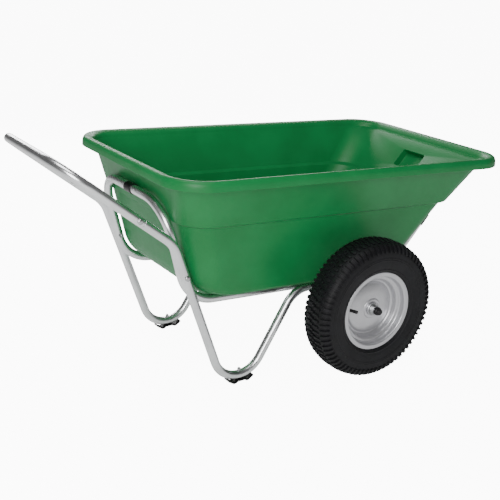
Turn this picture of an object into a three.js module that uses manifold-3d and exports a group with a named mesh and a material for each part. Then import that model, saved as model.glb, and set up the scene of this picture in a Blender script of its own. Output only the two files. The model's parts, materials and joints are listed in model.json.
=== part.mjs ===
// Garden cart: a moulded tub that rests in a bent aluminium tube frame and lifts out of it, on two
// pneumatic wheels at the nose end, with two bent legs and a handle loop at the other end.
//
// Millimetres. +X points to the nose of the cart, +Y to its left side, +Z up. The cart is built with the
// ground point under the axle at the origin, and the finished cart is moved so that the origin lies on
// the ground under the centre of its overall box.

import * as THREE from "three";
import { mergeVertices } from "three/addons/utils/BufferGeometryUtils.js";
import Module from "manifold-3d";

const wasm = await Module();
wasm.setup();

const degrees = THREE.MathUtils.degToRad;
const FULL_TURN = 2 * Math.PI;
const QUARTER_TURN = Math.PI / 2;

// ---------------------------------------------------------------------------------------------------
// Driving dimensions
// ---------------------------------------------------------------------------------------------------

const GAP = 0.3; // left between pieces that touch
const SIDES = { left: 1, right: -1 };

const TUBE = {
  radius: 12.7,
  wall: 2,
  sides: 12,
  boreSides: 8,
  bendStep: degrees(15), // turn between two stations of a bend
};

// The bed is the plane of the two runners under the tub. It slopes down towards the nose.
const BED = {
  tilt: degrees(4.8),
  halfSpan: 190, // runner centreline from the middle of the cart
  overAxle: 26, // height of the runner centreline over the axle
  joint: 75, // where the two bent halves of the bed tube meet
  plugLength: 60,
};
// Each hoop: where its upright line meets the runner line, its lean, its height over the runners, and
// the bend radii at the runner and at the top corners.
const HANDLE_HOOP = { foot: -490, lean: degrees(-17), height: 275, footBend: 105, topBend: 100 };
const NOSE_HOOP = { foot: 199, lean: degrees(39.5), height: 214, footBend: 100, topBend: 54 };

const SLEEVE = { thickness: 2, length: 38 }; // rubber sleeves between the hoops and the tub

const LEG = {
  footX: -343,
  footBend: 81,
  lean: degrees(17.5), // of the upright leg, away from the nose
  strutRise: degrees(56.5),
  strutBend: 80,
  strutEnd: 45, // beyond the axle
  elbowOverAxle: 248,
  elbowBend: 100,
};
const HANDLE = {
  rise: degrees(40.3),
  reach: 380, // from the leg's elbow to the crossbar, along the arm
  seam: 112, // from the elbow to the end of the loop, along the arm
  neckLength: 45,
  neckWall: 2,
  collarLength: 6,
  boltFromSeam: 16,
  cornerBend: 95,
};
const FOOT_PAD = {
  thickness: 4,
  width: 26,
  halfLength: 40,
  tipSpacing: 43,
  tipWidth: 7,
  middle: 24,
  drop: 8, // from the flat under the tube down to the tips
};

const AXLE = { radius: 8, end: 405, sides: 16 };
const BRACKET = { boss: 15, plate: 5, halfLength: 44, overhang: 1, boltOffset: 30 };
const SPACER_WALL = 2.6;

const WHEEL = {
  radius: 200,
  track: 357, // tyre centre from the middle of the cart
  segments: 32,
};
const TYRE = { halfWidth: 50, beadRadius: 102, beadHalfWidth: 37, carcass: 8, tread: 17 };
const RIM = {
  lipRadius: 113,
  lipHalfWidth: 40.5,
  seatRadius: 101.4,
  wellRadius: 86,
  jointRadius: 78,
  sheet: 2,
  dish: 13, // how far the disc bulges out at the hub
};
const INNER_TUBE = { wall: 2.5, clearance: 2, segments: 22, sectionPoints: 10 };
const HUB = { radius: 20, bore: 17.6, outerEnd: 24, innerEnd: 52 }; // ends counted from the tyre's centre
const BEARING = { radius: 17.3, width: 11, recess: 1, sides: 20 };
const WASHER = { radius: 16, thickness: 2.5 };
const AXLE_NUT = { acrossFlats: 24, height: 10 };
const NUT_CAP = { radius: 11.7, wall: 2, overhang: 3.5 };
// The valve leaves the well's outer slope, leaning in by angle, at a turn above the axle's level.
const VALVE = {
  radius: 4.5,
  rootRadius: 106,
  rootOffset: -4,
  length: 58,
  angle: degrees(30),
  turn: degrees(12),
  sides: 8,
};

// Bolts; spare is how far the thread stands out of the nut.
const BOLT = { radius: 4, headRadius: 8, headHeight: 4.5, nutFlats: 13, nutHeight: 6.5, spare: 4, sides: 8 };
const FOOT_BOLT = { radius: 3, headRadius: 6.5, headHeight: 2.6, nutFlats: 10, nutHeight: 5, spare: 3 };
FOOT_BOLT.sides = BOLT.sides;

const TUB = {
  wall: 4,
  crest: 367, // height of the rim over the runner centreline
  ledge: 224,
  ledgeStep: 10,
  ledgeRise: 5,
  flange: 29,
  skirt: 27,
  handleCorner: { foot: 80, top: 85 },
  noseCorner: { foot: 60, top: 80 },
  cornerSegments: 5,
  edgeSteps: 6,
  rimSteps: 7,
};
// The tub's walls. A wall's foot is where its line meets the tub's underside, its slopes under and over
// the ledge are outward run for each unit of height, and its edge is the radius round the bottom.
const SIDE_WALL = { outsideRunner: 42, lower: 0.15, upper: 0.262, edge: 16 };
const HANDLE_WALL = { insideHoop: 6, upper: 0.26 };
const NOSE_WALL = { upper: 0.827 };
const BELLY = {
  halfWidth: 166,
  handleEnd: 398,
  noseEnd: 132,
  depth: 32, // at the handle end; it gets shallower by fall towards the axle
  fall: 0.045,
  draft: 14,
  corner: 60,
};
const HAND_HOLD = { width: 100, height: 62, depth: 24, corner: 9, belowCrest: 53 };

// ---------------------------------------------------------------------------------------------------
// Materials
// ---------------------------------------------------------------------------------------------------

function material(color, roughness, metalness) {
  return new THREE.MeshStandardMaterial({ color, roughness, metalness });
}

const MATERIALS = {
  plastic: material(0x1f7a44, 0.45, 0),
  aluminium: material(0xc9cccf, 0.3, 1),
  steel: material(0x9da0a3, 0.35, 1),
  rimPaint: material(0xb4b5b8, 0.4, 0.6),
  tyre: material(0x17171a, 0.75, 0),
  rubber: material(0x1b1b1d, 0.7, 0),
  butyl: material(0x202022, 0.6, 0),
  padSteel: material(0x18181a, 0.5, 0.4),
};

// ---------------------------------------------------------------------------------------------------
// Solids and their joins and cuts
// ---------------------------------------------------------------------------------------------------

const MERGE_DISTANCE = 1e-3;

function solid(geometry) {
  const bare = geometry.clone();
  bare.deleteAttribute("normal");
  bare.deleteAttribute("uv");
  const merged = mergeVertices(bare, MERGE_DISTANCE);
  return new wasm.Manifold(
    new wasm.Mesh({
      numProp: 3,
      vertProperties: merged.attributes.position.array,
      triVerts: new Uint32Array(merged.index.array),
    }),
  );
}

function geometryOf(made) {
  const mesh = made.getMesh();
  const geometry = new THREE.BufferGeometry();
  geometry.setAttribute("position", new THREE.BufferAttribute(mesh.vertProperties, 3));
  geometry.setIndex(new THREE.BufferAttribute(mesh.triVerts, 1));
  geometry.computeVertexNormals();
  return geometry;
}

function cut(geometry, ...tools) {
  return geometryOf(tools.reduce((made, tool) => made.subtract(solid(tool)), solid(geometry)));
}

function join(geometry, ...others) {
  return geometryOf(others.reduce((made, other) => made.add(solid(other)), solid(geometry)));
}

// ---------------------------------------------------------------------------------------------------
// Sections, tubes and turned pieces
// ---------------------------------------------------------------------------------------------------

function point(x, y, z) {
  return new THREE.Vector3(x, y, z);
}

function flatPoint(x, y) {
  return new THREE.Vector2(x, y);
}

// A regular polygon that lies inside the circle, or with outside set, around it.
function circlePoints(radius, sides, outside = false) {
  const corner = outside ? radius / Math.cos(Math.PI / sides) : radius;
  return Array.from({ length: sides }, (_, i) => {
    const angle = (FULL_TURN * (i + 0.5)) / sides;
    return flatPoint(corner * Math.cos(angle), corner * Math.sin(angle));
  });
}

function tubeSection(radius, bore) {
  const section = new THREE.Shape(circlePoints(radius, TUBE.sides));
  section.holes.push(new THREE.Path(circlePoints(bore, TUBE.boreSides, true)));
  return section;
}

// A route given by its own stations: straight runs take one step and bends take as many as they need.
class StationCurve extends THREE.Curve {
  constructor(points, tangents) {
    super();
    this.points = points;
    this.tangents = tangents;
  }

  get steps() {
    return this.points.length - 1;
  }

  getPoint(t, target = new THREE.Vector3()) {
    return target.copy(this.points[Math.round(t * this.steps)]);
  }

  getPointAt(t, target) {
    return this.getPoint(t, target);
  }

  getTangentAt(t, target = new THREE.Vector3()) {
    return target.copy(this.tangents[Math.round(t * this.steps)]);
  }
}

function direction(from, to) {
  return to.clone().sub(from).normalize();
}

// Straight runs between the corners, with an arc of its own radius at each inner corner.
function bentRoute(corners, radii = []) {
  const points = [corners[0]];
  const tangents = [direction(corners[0], corners[1])];
  radii.forEach((radius, i) => {
    const corner = corners[i + 1];
    const before = direction(corners[i], corner);
    const after = direction(corner, corners[i + 2]);
    const turn = before.angleTo(after);
    const axis = before.clone().cross(after).normalize();
    const start = corner.clone().addScaledVector(before, -radius * Math.tan(turn / 2));
    const centre = start.clone().addScaledVector(axis.clone().cross(before), radius);
    const arm = start.clone().sub(centre);
    const steps = Math.ceil(turn / TUBE.bendStep);
    for (let k = 0; k <= steps; k++) {
      const angle = (turn * k) / steps;
      points.push(arm.clone().applyAxisAngle(axis, angle).add(centre));
      tangents.push(before.clone().applyAxisAngle(axis, angle));
    }
  });
  points.push(corners.at(-1));
  tangents.push(direction(corners.at(-2), corners.at(-1)));
  return new StationCurve(points, tangents);
}

function alongRoute(section, route) {
  return new THREE.ExtrudeGeometry(section, { steps: route.steps, extrudePath: route, bevelEnabled: false });
}

function tube(route, radius = TUBE.radius, bore = TUBE.radius - TUBE.wall) {
  return alongRoute(tubeSection(radius, bore), route);
}

function rod(from, to, radius, sides) {
  return alongRoute(new THREE.Shape(circlePoints(radius, sides)), bentRoute([from, to]));
}

// A cutting tool for the hole of a bolt or a valve: its flats stay clear of the round piece.
function drill(from, to, kind) {
  const outline = circlePoints(kind.radius + GAP, kind.sides, true);
  return alongRoute(new THREE.Shape(outline), bentRoute([from, to]));
}

// A ring, turned about the Y axis, from one place on that axis to another.
function turnedRing(outer, bore, from, to, segments) {
  const profile = [
    flatPoint(outer, from),
    flatPoint(outer, to),
    flatPoint(bore, to),
    flatPoint(bore, from),
    flatPoint(outer, from),
  ];
  return new THREE.LatheGeometry(profile, segments);
}

// A hexagonal nut on the Y axis, its near face at y = 0.
function hexNut(flats, height, bore) {
  const outline = new THREE.Shape(circlePoints(flats / 2, 6, true));
  outline.holes.push(new THREE.Path(circlePoints(bore + GAP, BOLT.sides, true)));
  const body = new THREE.ExtrudeGeometry(outline, { depth: height, bevelEnabled: false });
  return body.rotateX(-QUARTER_TURN);
}

const nutFor = (kind) => hexNut(kind.nutFlats, kind.nutHeight, kind.radius);

// A round-headed bolt on the Y axis. It starts at y = 0, and its head sits past y = grip.
function bolt(kind, grip) {
  const profile = [
    flatPoint(0, 0),
    flatPoint(kind.radius, 0),
    flatPoint(kind.radius, grip),
    flatPoint(kind.headRadius, grip),
    flatPoint(kind.headRadius * 0.8, grip + kind.headHeight * 0.75),
    flatPoint(0, grip + kind.headHeight),
  ];
  return new THREE.LatheGeometry(profile, kind.sides);
}

// ---------------------------------------------------------------------------------------------------
// The model and its groups
// ---------------------------------------------------------------------------------------------------

const AXLE_HEIGHT = WHEEL.radius;

const cart = new THREE.Group();
const bed = new THREE.Group(); // its X axis runs along the runners, with z = 0 at their centreline
bed.position.z = AXLE_HEIGHT + BED.overAxle;
bed.rotation.y = BED.tilt;
cart.add(bed);

function add(parent, name, geometry, finish) {
  const mesh = new THREE.Mesh(geometry, finish);
  mesh.name = name;
  parent.add(mesh);
  return mesh;
}

// A place in the bed's own frame, seen in the cart's frame, and the other way round.
bed.updateMatrix();
const bedToCart = (place) => place.clone().applyMatrix4(bed.matrix);
const cartToBed = (place) => place.clone().applyMatrix4(bed.matrix.clone().invert());

// A bolt across the cart: its head is on the outer face and its nut on the inner one.
function addCrossBolt(parent, name, side, place, outerFace, innerFace, kind = BOLT) {
  const grip = outerFace - innerFace + kind.nutHeight + kind.spare;
  const turn = side > 0 ? 0 : Math.PI;
  const boltMesh = add(parent, `${name}_bolt`, bolt(kind, grip), MATERIALS.steel);
  boltMesh.position.set(place.x, side * (outerFace - grip), place.z);
  boltMesh.rotation.z = turn;
  const nutMesh = add(parent, `${name}_nut`, nutFor(kind), MATERIALS.steel);
  nutMesh.position.set(place.x, side * (innerFace - kind.nutHeight), place.z);
  nutMesh.rotation.z = turn;
}

// A bolt that stands upright in its parent's frame, with its head under bottom and its nut on top.
function addUprightBolt(parent, name, x, y, bottom, top, kind = BOLT) {
  const grip = top - bottom + kind.nutHeight + kind.spare;
  const boltMesh = add(parent, `${name}_bolt`, bolt(kind, grip), MATERIALS.steel);
  boltMesh.rotation.x = -QUARTER_TURN;
  boltMesh.position.set(x, y, bottom + grip);
  const nutMesh = add(parent, `${name}_nut`, nutFor(kind), MATERIALS.steel);
  nutMesh.rotation.x = QUARTER_TURN;
  nutMesh.position.set(x, y, top);
}

function crossHole(place, halfSpan, kind = BOLT) {
  const reach = 2 * TUBE.radius;
  const from = point(place.x, halfSpan - reach, place.z);
  const to = point(place.x, halfSpan + reach, place.z);
  return drill(from, to, kind);
}

function uprightHole(x, y, from, to, kind = BOLT) {
  return drill(point(x, y, from), point(x, y, to), kind);
}

// ---------------------------------------------------------------------------------------------------
// Layout that several pieces share
// ---------------------------------------------------------------------------------------------------

const LEG_HALF_SPAN = BED.halfSpan + 2 * TUBE.radius + GAP;

const hoopX = (hoop, height) => hoop.foot + height * Math.tan(hoop.lean);
const hoopCorner = (hoop, side) => point(hoopX(hoop, hoop.height), side * BED.halfSpan, hoop.height);

// Where two lines in the plane of the cart's side meet.
function crossing(placeA, alongA, placeB, alongB) {
  const between = placeB.clone().sub(placeA);
  const cross = (a, b) => a.x * b.z - a.z * b.x;
  return placeA.clone().addScaledVector(alongA, cross(between, alongB) / cross(alongA, alongB));
}

// The leg's lines touch the circle of the foot bend, which stands on the pad.
const legLine = point(-Math.sin(LEG.lean), 0, Math.cos(LEG.lean));
const strutLine = point(Math.cos(LEG.strutRise), 0, Math.sin(LEG.strutRise));
const runnerLine = bedToCart(point(1, 0, 0)).sub(bedToCart(point(0, 0, 0)));
const armLine = point(-Math.cos(HANDLE.rise), 0, Math.sin(HANDLE.rise));

const footCentre = point(LEG.footX, 0, FOOT_PAD.drop + GAP + TUBE.radius);
const footArcCentre = footCentre.clone().add(point(0, 0, LEG.footBend));
const onFootArc = (x, z) => footArcCentre.clone().addScaledVector(point(x, 0, z), LEG.footBend);
const legTouch = onFootArc(-Math.cos(LEG.lean), -Math.sin(LEG.lean));
const strutTouch = onFootArc(Math.sin(LEG.strutRise), -Math.cos(LEG.strutRise));

const elbowRise = AXLE_HEIGHT + LEG.elbowOverAxle - legTouch.z;
const elbow = legTouch.clone().addScaledVector(legLine, elbowRise / legLine.z);
const footCorner = crossing(legTouch, legLine, strutTouch, strutLine);
const strutCorner = crossing(strutTouch, strutLine, bedToCart(point(0, 0, 0)), runnerLine);
const strutEnd = bedToCart(point(LEG.strutEnd, 0, 0));
const onArm = (distance) => elbow.clone().addScaledVector(armLine, distance);
const seam = onArm(HANDLE.seam);
const handleBoltPlace = onArm(HANDLE.seam + HANDLE.boltFromSeam);

const hoopUpright = bedToCart(hoopCorner(HANDLE_HOOP, 0)).sub(bedToCart(point(HANDLE_HOOP.foot, 0, 0)));
const hoopBoltPlace = crossing(elbow, legLine, bedToCart(point(HANDLE_HOOP.foot, 0, 0)), hoopUpright);

const axleInBed = cartToBed(point(0, 0, AXLE_HEIGHT));
const bracketTop = -TUBE.radius - GAP;
const bracketBottom = bracketTop - BRACKET.plate;
const runnerBoltX = axleInBed.x + BRACKET.boltOffset;
const strutBoltX = axleInBed.x - BRACKET.boltOffset;
const bracketHole = (x, y) => uprightHole(x, y, 2 * bracketBottom, 0);

const footHole = (y) => uprightHole(footCentre.x, y, 0, footCentre.z + 2 * TUBE.radius, FOOT_BOLT);

const acrossCart = (place, y) => point(place.x, y, place.z);

// ---------------------------------------------------------------------------------------------------
// Bed tube: two bent halves, each with a hoop, joined by a plug inside each runner
// ---------------------------------------------------------------------------------------------------

function hoopTube(hoop, runnerEnd) {
  const right = -BED.halfSpan;
  const left = BED.halfSpan;
  const corners = [
    point(runnerEnd, right, 0),
    point(hoop.foot, right, 0),
    hoopCorner(hoop, SIDES.right),
    hoopCorner(hoop, SIDES.left),
    point(hoop.foot, left, 0),
    point(runnerEnd, left, 0),
  ];
  return tube(bentRoute(corners, [hoop.footBend, hoop.topBend, hoop.topBend, hoop.footBend]));
}

function addBedTubes() {
  const hoopBolt = cartToBed(hoopBoltPlace);
  const drilled = Object.values(SIDES).flatMap((side) => [
    crossHole(hoopBolt, side * BED.halfSpan),
    bracketHole(runnerBoltX, side * BED.halfSpan),
  ]);
  const handleEnd = cut(hoopTube(HANDLE_HOOP, BED.joint - GAP / 2), ...drilled);
  add(bed, "bed_tube_handle_end", handleEnd, MATERIALS.aluminium);
  add(bed, "bed_tube_nose_end", hoopTube(NOSE_HOOP, BED.joint + GAP / 2), MATERIALS.aluminium);
  for (const [name, side] of Object.entries(SIDES)) {
    const radius = TUBE.radius - TUBE.wall - GAP;
    const from = point(BED.joint - BED.plugLength / 2, side * BED.halfSpan, 0);
    const to = point(BED.joint + BED.plugLength / 2, side * BED.halfSpan, 0);
    const plug = tube(bentRoute([from, to]), radius, radius - TUBE.wall);
    add(bed, `${name}_runner_plug`, plug, MATERIALS.aluminium);
  }
}

// Rubber sleeves that keep the tub from rattling on the hoops.
function sleeve(from, to) {
  const bore = TUBE.radius + GAP;
  return alongRoute(tubeSection(bore + SLEEVE.thickness, bore), bentRoute([from, to]));
}

function addSleeves() {
  const barX = hoopX(HANDLE_HOOP, HANDLE_HOOP.height);
  const half = SLEEVE.length / 2;
  const onBar = sleeve(point(barX, -half, HANDLE_HOOP.height), point(barX, half, HANDLE_HOOP.height));
  add(bed, "handle_hoop_sleeve", onBar, MATERIALS.rubber);
  const top = NOSE_HOOP.height - NOSE_HOOP.topBend * Math.cos(NOSE_HOOP.lean) - GAP;
  const bottom = top - SLEEVE.length * Math.cos(NOSE_HOOP.lean);
  for (const [name, side] of Object.entries(SIDES)) {
    const y = side * BED.halfSpan;
    const onHoop = (height) => point(hoopX(NOSE_HOOP, height), y, height);
    const onUpright = sleeve(onHoop(bottom), onHoop(top));
    add(bed, `${name}_nose_hoop_sleeve`, onUpright, MATERIALS.rubber);
  }
}

// ---------------------------------------------------------------------------------------------------
// Legs: each one tube, from the handle's seam over the elbow, down to the foot and up along the runner
// ---------------------------------------------------------------------------------------------------

const NECK_RADIUS = TUBE.radius - TUBE.wall - GAP;

function legTube(y) {
  const corners = [seam, elbow, footCorner, strutCorner, strutEnd].map((place) => acrossCart(place, y));
  const body = tube(bentRoute(corners, [LEG.elbowBend, LEG.footBend, LEG.strutBend]));
  const neckBore = NECK_RADIUS - HANDLE.neckWall;
  const collarStart = acrossCart(onArm(HANDLE.seam - HANDLE.collarLength), y);
  const collar = tube(bentRoute([corners[0], collarStart]), TUBE.radius - TUBE.wall / 2, neckBore);
  const neckStart = acrossCart(onArm(HANDLE.seam - HANDLE.collarLength / 2), y);
  const neckEnd = acrossCart(onArm(HANDLE.seam + HANDLE.neckLength), y);
  const neck = tube(bentRoute([neckStart, neckEnd]), NECK_RADIUS, neckBore);
  return cut(
    join(body, collar, neck),
    crossHole(handleBoltPlace, y),
    crossHole(hoopBoltPlace, y),
    footHole(y),
    bracketHole(strutBoltX, y).applyMatrix4(bed.matrix),
  );
}

function addLegs() {
  for (const [name, side] of Object.entries(SIDES)) {
    add(cart, `${name}_leg_tube`, legTube(side * LEG_HALF_SPAN), MATERIALS.aluminium);
    const toFace = TUBE.radius + GAP;
    const outerFace = LEG_HALF_SPAN + toFace;
    addCrossBolt(cart, `${name}_hoop`, side, hoopBoltPlace, outerFace, BED.halfSpan - toFace);
    addCrossBolt(cart, `${name}_handle`, side, handleBoltPlace, outerFace, LEG_HALF_SPAN - toFace);
  }
}

function addHandleLoop() {
  const crossbar = onArm(HANDLE.reach);
  const end = onArm(HANDLE.seam + GAP);
  const corners = [
    acrossCart(end, -LEG_HALF_SPAN),
    acrossCart(crossbar, -LEG_HALF_SPAN),
    acrossCart(crossbar, LEG_HALF_SPAN),
    acrossCart(end, LEG_HALF_SPAN),
  ];
  const loop = tube(bentRoute(corners, [HANDLE.cornerBend, HANDLE.cornerBend]));
  const holes = Object.values(SIDES).map((side) => crossHole(handleBoltPlace, side * LEG_HALF_SPAN));
  add(cart, "handle_loop", cut(loop, ...holes), MATERIALS.aluminium);
}

// ---------------------------------------------------------------------------------------------------
// Foot pads: a steel strip bent to two V-shaped treads, bolted under each foot bend
// ---------------------------------------------------------------------------------------------------

function footPadOutline() {
  const tip = FOOT_PAD.tipSpacing / 2;
  const flat = FOOT_PAD.tipWidth / 2;
  const thick = FOOT_PAD.thickness;
  const bendUnderside = LEG.footBend + TUBE.radius;
  const rise = bendUnderside - Math.sqrt(bendUnderside ** 2 - FOOT_PAD.halfLength ** 2);
  const endTop = FOOT_PAD.drop + rise - GAP;
  const lower = [
    flatPoint(FOOT_PAD.middle / 2 - 1, FOOT_PAD.drop - thick),
    flatPoint(tip - flat, 0),
    flatPoint(tip + flat, 0),
    flatPoint(FOOT_PAD.halfLength + 1, endTop - thick),
  ];
  const upper = [
    flatPoint(FOOT_PAD.halfLength, endTop),
    flatPoint(tip + flat - 2, thick),
    flatPoint(tip - flat + 2, thick),
    flatPoint(FOOT_PAD.middle / 2, FOOT_PAD.drop),
  ];
  const otherEnd = (outline) => outline.map((p) => flatPoint(-p.x, p.y)).reverse();
  return new THREE.Shape([...otherEnd(lower), ...lower, ...upper, ...otherEnd(upper)]);
}

function addFeet() {
  const strip = new THREE.ExtrudeGeometry(footPadOutline(), { depth: FOOT_PAD.width, bevelEnabled: false });
  strip.rotateX(QUARTER_TURN).translate(LEG.footX, FOOT_PAD.width / 2, 0);
  const drilled = cut(strip, footHole(0));
  for (const [name, side] of Object.entries(SIDES)) {
    const y = side * LEG_HALF_SPAN;
    add(cart, `${name}_foot_pad`, drilled, MATERIALS.padSteel).position.y = y;
    const top = footCentre.z + TUBE.radius + GAP;
    const bottom = FOOT_PAD.drop - FOOT_PAD.thickness - GAP;
    addUprightBolt(cart, `${name}_foot`, LEG.footX, y, bottom, top, FOOT_BOLT);
  }
}

// ---------------------------------------------------------------------------------------------------
// Axle: a steel rod held by a saddle block under each pair of tubes
// ---------------------------------------------------------------------------------------------------

const BRACKET_INNER = BED.halfSpan - TUBE.radius - BRACKET.overhang;
const BRACKET_OUTER = LEG_HALF_SPAN + TUBE.radius + BRACKET.overhang;

// The block's side outline: a plate under the tubes with a boss around the axle.
function bracketOutline() {
  const halfChord = Math.sqrt(BRACKET.boss ** 2 - (bracketBottom - axleInBed.z) ** 2);
  const start = Math.atan2(bracketBottom - axleInBed.z, halfChord);
  const outline = new THREE.Shape();
  outline.moveTo(axleInBed.x + halfChord, bracketBottom);
  outline.lineTo(axleInBed.x + BRACKET.halfLength, bracketBottom);
  outline.lineTo(axleInBed.x + BRACKET.halfLength, bracketTop);
  outline.lineTo(axleInBed.x - BRACKET.halfLength, bracketTop);
  outline.lineTo(axleInBed.x - BRACKET.halfLength, bracketBottom);
  outline.lineTo(axleInBed.x - halfChord, bracketBottom);
  outline.absarc(axleInBed.x, axleInBed.z, BRACKET.boss, Math.PI - start, start, false);
  const onAxle = flatPoint(axleInBed.x, axleInBed.z);
  const bore = circlePoints(AXLE.radius + GAP, AXLE.sides, true).map((p) => p.add(onAxle));
  outline.holes.push(new THREE.Path(bore));
  return outline;
}

function addAxle() {
  const profile = [
    flatPoint(0, -AXLE.end),
    flatPoint(AXLE.radius, -AXLE.end),
    flatPoint(AXLE.radius, AXLE.end),
    flatPoint(0, AXLE.end),
  ];
  add(cart, "axle", new THREE.LatheGeometry(profile, AXLE.sides), MATERIALS.steel).position.z = AXLE_HEIGHT;

  const width = BRACKET_OUTER - BRACKET_INNER;
  const options = { depth: width, bevelEnabled: false, curveSegments: 8 };
  const block = new THREE.ExtrudeGeometry(bracketOutline(), options);
  block.rotateX(QUARTER_TURN);
  // The bolts go up through the block into nuts that are held inside the tubes.
  const nutCorner = BOLT.nutFlats / 2 / Math.cos(Math.PI / 6);
  const nutSeat = GAP - Math.sqrt((TUBE.radius - TUBE.wall) ** 2 - nutCorner ** 2);
  for (const [name, side] of Object.entries(SIDES)) {
    const outer = side > 0 ? BRACKET_OUTER : -BRACKET_INNER;
    const placed = block.clone().translate(0, outer, 0);
    const runnerY = side * BED.halfSpan;
    const strutY = side * LEG_HALF_SPAN;
    const holes = [bracketHole(runnerBoltX, runnerY), bracketHole(strutBoltX, strutY)];
    add(bed, `${name}_axle_bracket`, cut(placed, ...holes), MATERIALS.aluminium);
    addUprightBolt(bed, `${name}_bracket_runner`, runnerBoltX, runnerY, bracketBottom - GAP, nutSeat);
    addUprightBolt(bed, `${name}_bracket_strut`, strutBoltX, strutY, bracketBottom - GAP, nutSeat);
  }
}

function addSpacers() {
  const bore = AXLE.radius + GAP;
  const from = BRACKET_OUTER + GAP;
  const to = WHEEL.track - HUB.innerEnd - GAP;
  for (const [name, side] of Object.entries(SIDES)) {
    const ring = turnedRing(bore + SPACER_WALL, bore, from, to, AXLE.sides);
    const mesh = add(cart, `${name}_axle_spacer`, ring, MATERIALS.steel);
    mesh.position.z = AXLE_HEIGHT;
    mesh.rotation.z = side > 0 ? 0 : Math.PI;
  }
}

// ---------------------------------------------------------------------------------------------------
// Wheels: built on the Y axis with y = 0 at the tyre's centre and +Y to the outside of the cart
// ---------------------------------------------------------------------------------------------------

// A half outline that ends at the middle, completed by its mirror image across y = 0.
const mirrored = (outline) => outline.map((p) => flatPoint(p.x, -p.y)).reverse();
const closed = (outline) => [...outline, outline[0]];

// A thin sheet's section: its middle line, moved to each side by half the sheet's thickness.
function sheetSides(middle, thickness) {
  const shifted = (sign) =>
    middle.map((p, i) => {
      const before = middle[Math.max(i - 1, 0)];
      const after = middle[Math.min(i + 1, middle.length - 1)];
      const along = after.clone().sub(before).normalize();
      return flatPoint(p.x + (sign * along.y * thickness) / 2, p.y - (sign * along.x * thickness) / 2);
    });
  return { right: shifted(1), left: shifted(-1) };
}

function tyreGeometry() {
  const { halfWidth, beadRadius, beadHalfWidth, carcass, tread } = TYRE;
  const top = WHEEL.radius;
  const lipClear = RIM.lipRadius + 2 * GAP;
  const outer = [
    flatPoint(top, halfWidth - 24),
    flatPoint(top - 3, halfWidth - 15),
    flatPoint(top - 14, halfWidth - 5),
    flatPoint(top - 42, halfWidth),
    flatPoint(top - 68, halfWidth - 2),
    flatPoint(lipClear + 3, RIM.lipHalfWidth + 2),
    flatPoint(lipClear, beadHalfWidth),
    flatPoint(beadRadius + 3, beadHalfWidth),
    flatPoint(beadRadius, beadHalfWidth - 3),
  ];
  const inner = [
    flatPoint(beadRadius, beadHalfWidth - 10),
    flatPoint(beadRadius + 8, beadHalfWidth - 7),
    flatPoint(beadRadius + 22, halfWidth - carcass - 2),
    flatPoint(top - 42, halfWidth - carcass),
    flatPoint(top - tread, halfWidth - 24),
  ];
  const section = [...mirrored(outer), ...outer, ...inner, ...mirrored(inner)];
  return new THREE.LatheGeometry(closed(section), WHEEL.segments);
}

function valveAxis() {
  const turned = (place) => place.applyAxisAngle(point(0, 1, 0), -VALVE.turn);
  const root = turned(point(-VALVE.rootRadius, VALVE.rootOffset, 0));
  const along = turned(point(Math.sin(VALVE.angle), Math.cos(VALVE.angle), 0));
  return { root, along, end: root.clone().addScaledVector(along, VALVE.length) };
}

// The valve's hole starts inside the inner tube, so that the tube's air space opens into it.
function valveHole() {
  const { root, along, end } = valveAxis();
  return drill(root.clone().addScaledVector(along, -3 * VALVE.radius), end, VALVE);
}

function innerTubeGeometry() {
  const low = TYRE.beadRadius + INNER_TUBE.clearance;
  const high = WHEEL.radius - TYRE.tread - INNER_TUBE.clearance;
  const middle = (low + high) / 2;
  const section = (high - low) / 2;
  // In a tall tyre the tube is narrower than it is high.
  const narrowing = Math.min((TYRE.halfWidth - TYRE.carcass - INNER_TUBE.clearance) / section, 1);
  const ring = (radius) => {
    const torus = new THREE.TorusGeometry(middle, radius, INNER_TUBE.sectionPoints, INNER_TUBE.segments);
    return torus.rotateX(QUARTER_TURN).scale(1, narrowing, 1);
  };
  return cut(ring(section), ring(section - INNER_TUBE.wall), valveHole());
}

// One pressed half of the rim: lip, bead seat, well, the flat where the halves meet, and the dished disc.
function rimHalfGeometry() {
  const seat = RIM.seatRadius - RIM.sheet / 2;
  const lipY = RIM.lipHalfWidth - RIM.sheet / 2;
  const meetY = (RIM.sheet + GAP) / 2;
  const hole = HUB.radius + GAP;
  const middle = [
    flatPoint(RIM.lipRadius, lipY),
    flatPoint(seat + 2, lipY),
    flatPoint(seat, lipY - 3),
    flatPoint(seat, lipY - 17),
    flatPoint(RIM.wellRadius, lipY - 28),
    flatPoint(RIM.jointRadius, meetY),
    flatPoint(RIM.jointRadius - 8, meetY + 4),
    flatPoint(RIM.jointRadius - 36, meetY + RIM.dish),
    flatPoint(hole, meetY + RIM.dish),
  ];
  const { right, left } = sheetSides(middle, RIM.sheet);
  return new THREE.LatheGeometry(closed([...right, ...left.reverse()]), WHEEL.segments);
}

function nutCapGeometry() {
  const start = HUB.outerEnd + WASHER.thickness + AXLE_NUT.height + 3 * GAP;
  const axleEnd = AXLE.end - WHEEL.track + GAP;
  const end = axleEnd + NUT_CAP.wall + NUT_CAP.overhang;
  const profile = [
    flatPoint(0, axleEnd),
    flatPoint(AXLE.radius + GAP, axleEnd),
    flatPoint(AXLE.radius + GAP, start),
    flatPoint(NUT_CAP.radius, start),
    flatPoint(NUT_CAP.radius, end - NUT_CAP.overhang),
    flatPoint(NUT_CAP.radius - 3, end),
    flatPoint(0, end),
  ];
  return new THREE.LatheGeometry(profile, AXLE.sides);
}

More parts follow.
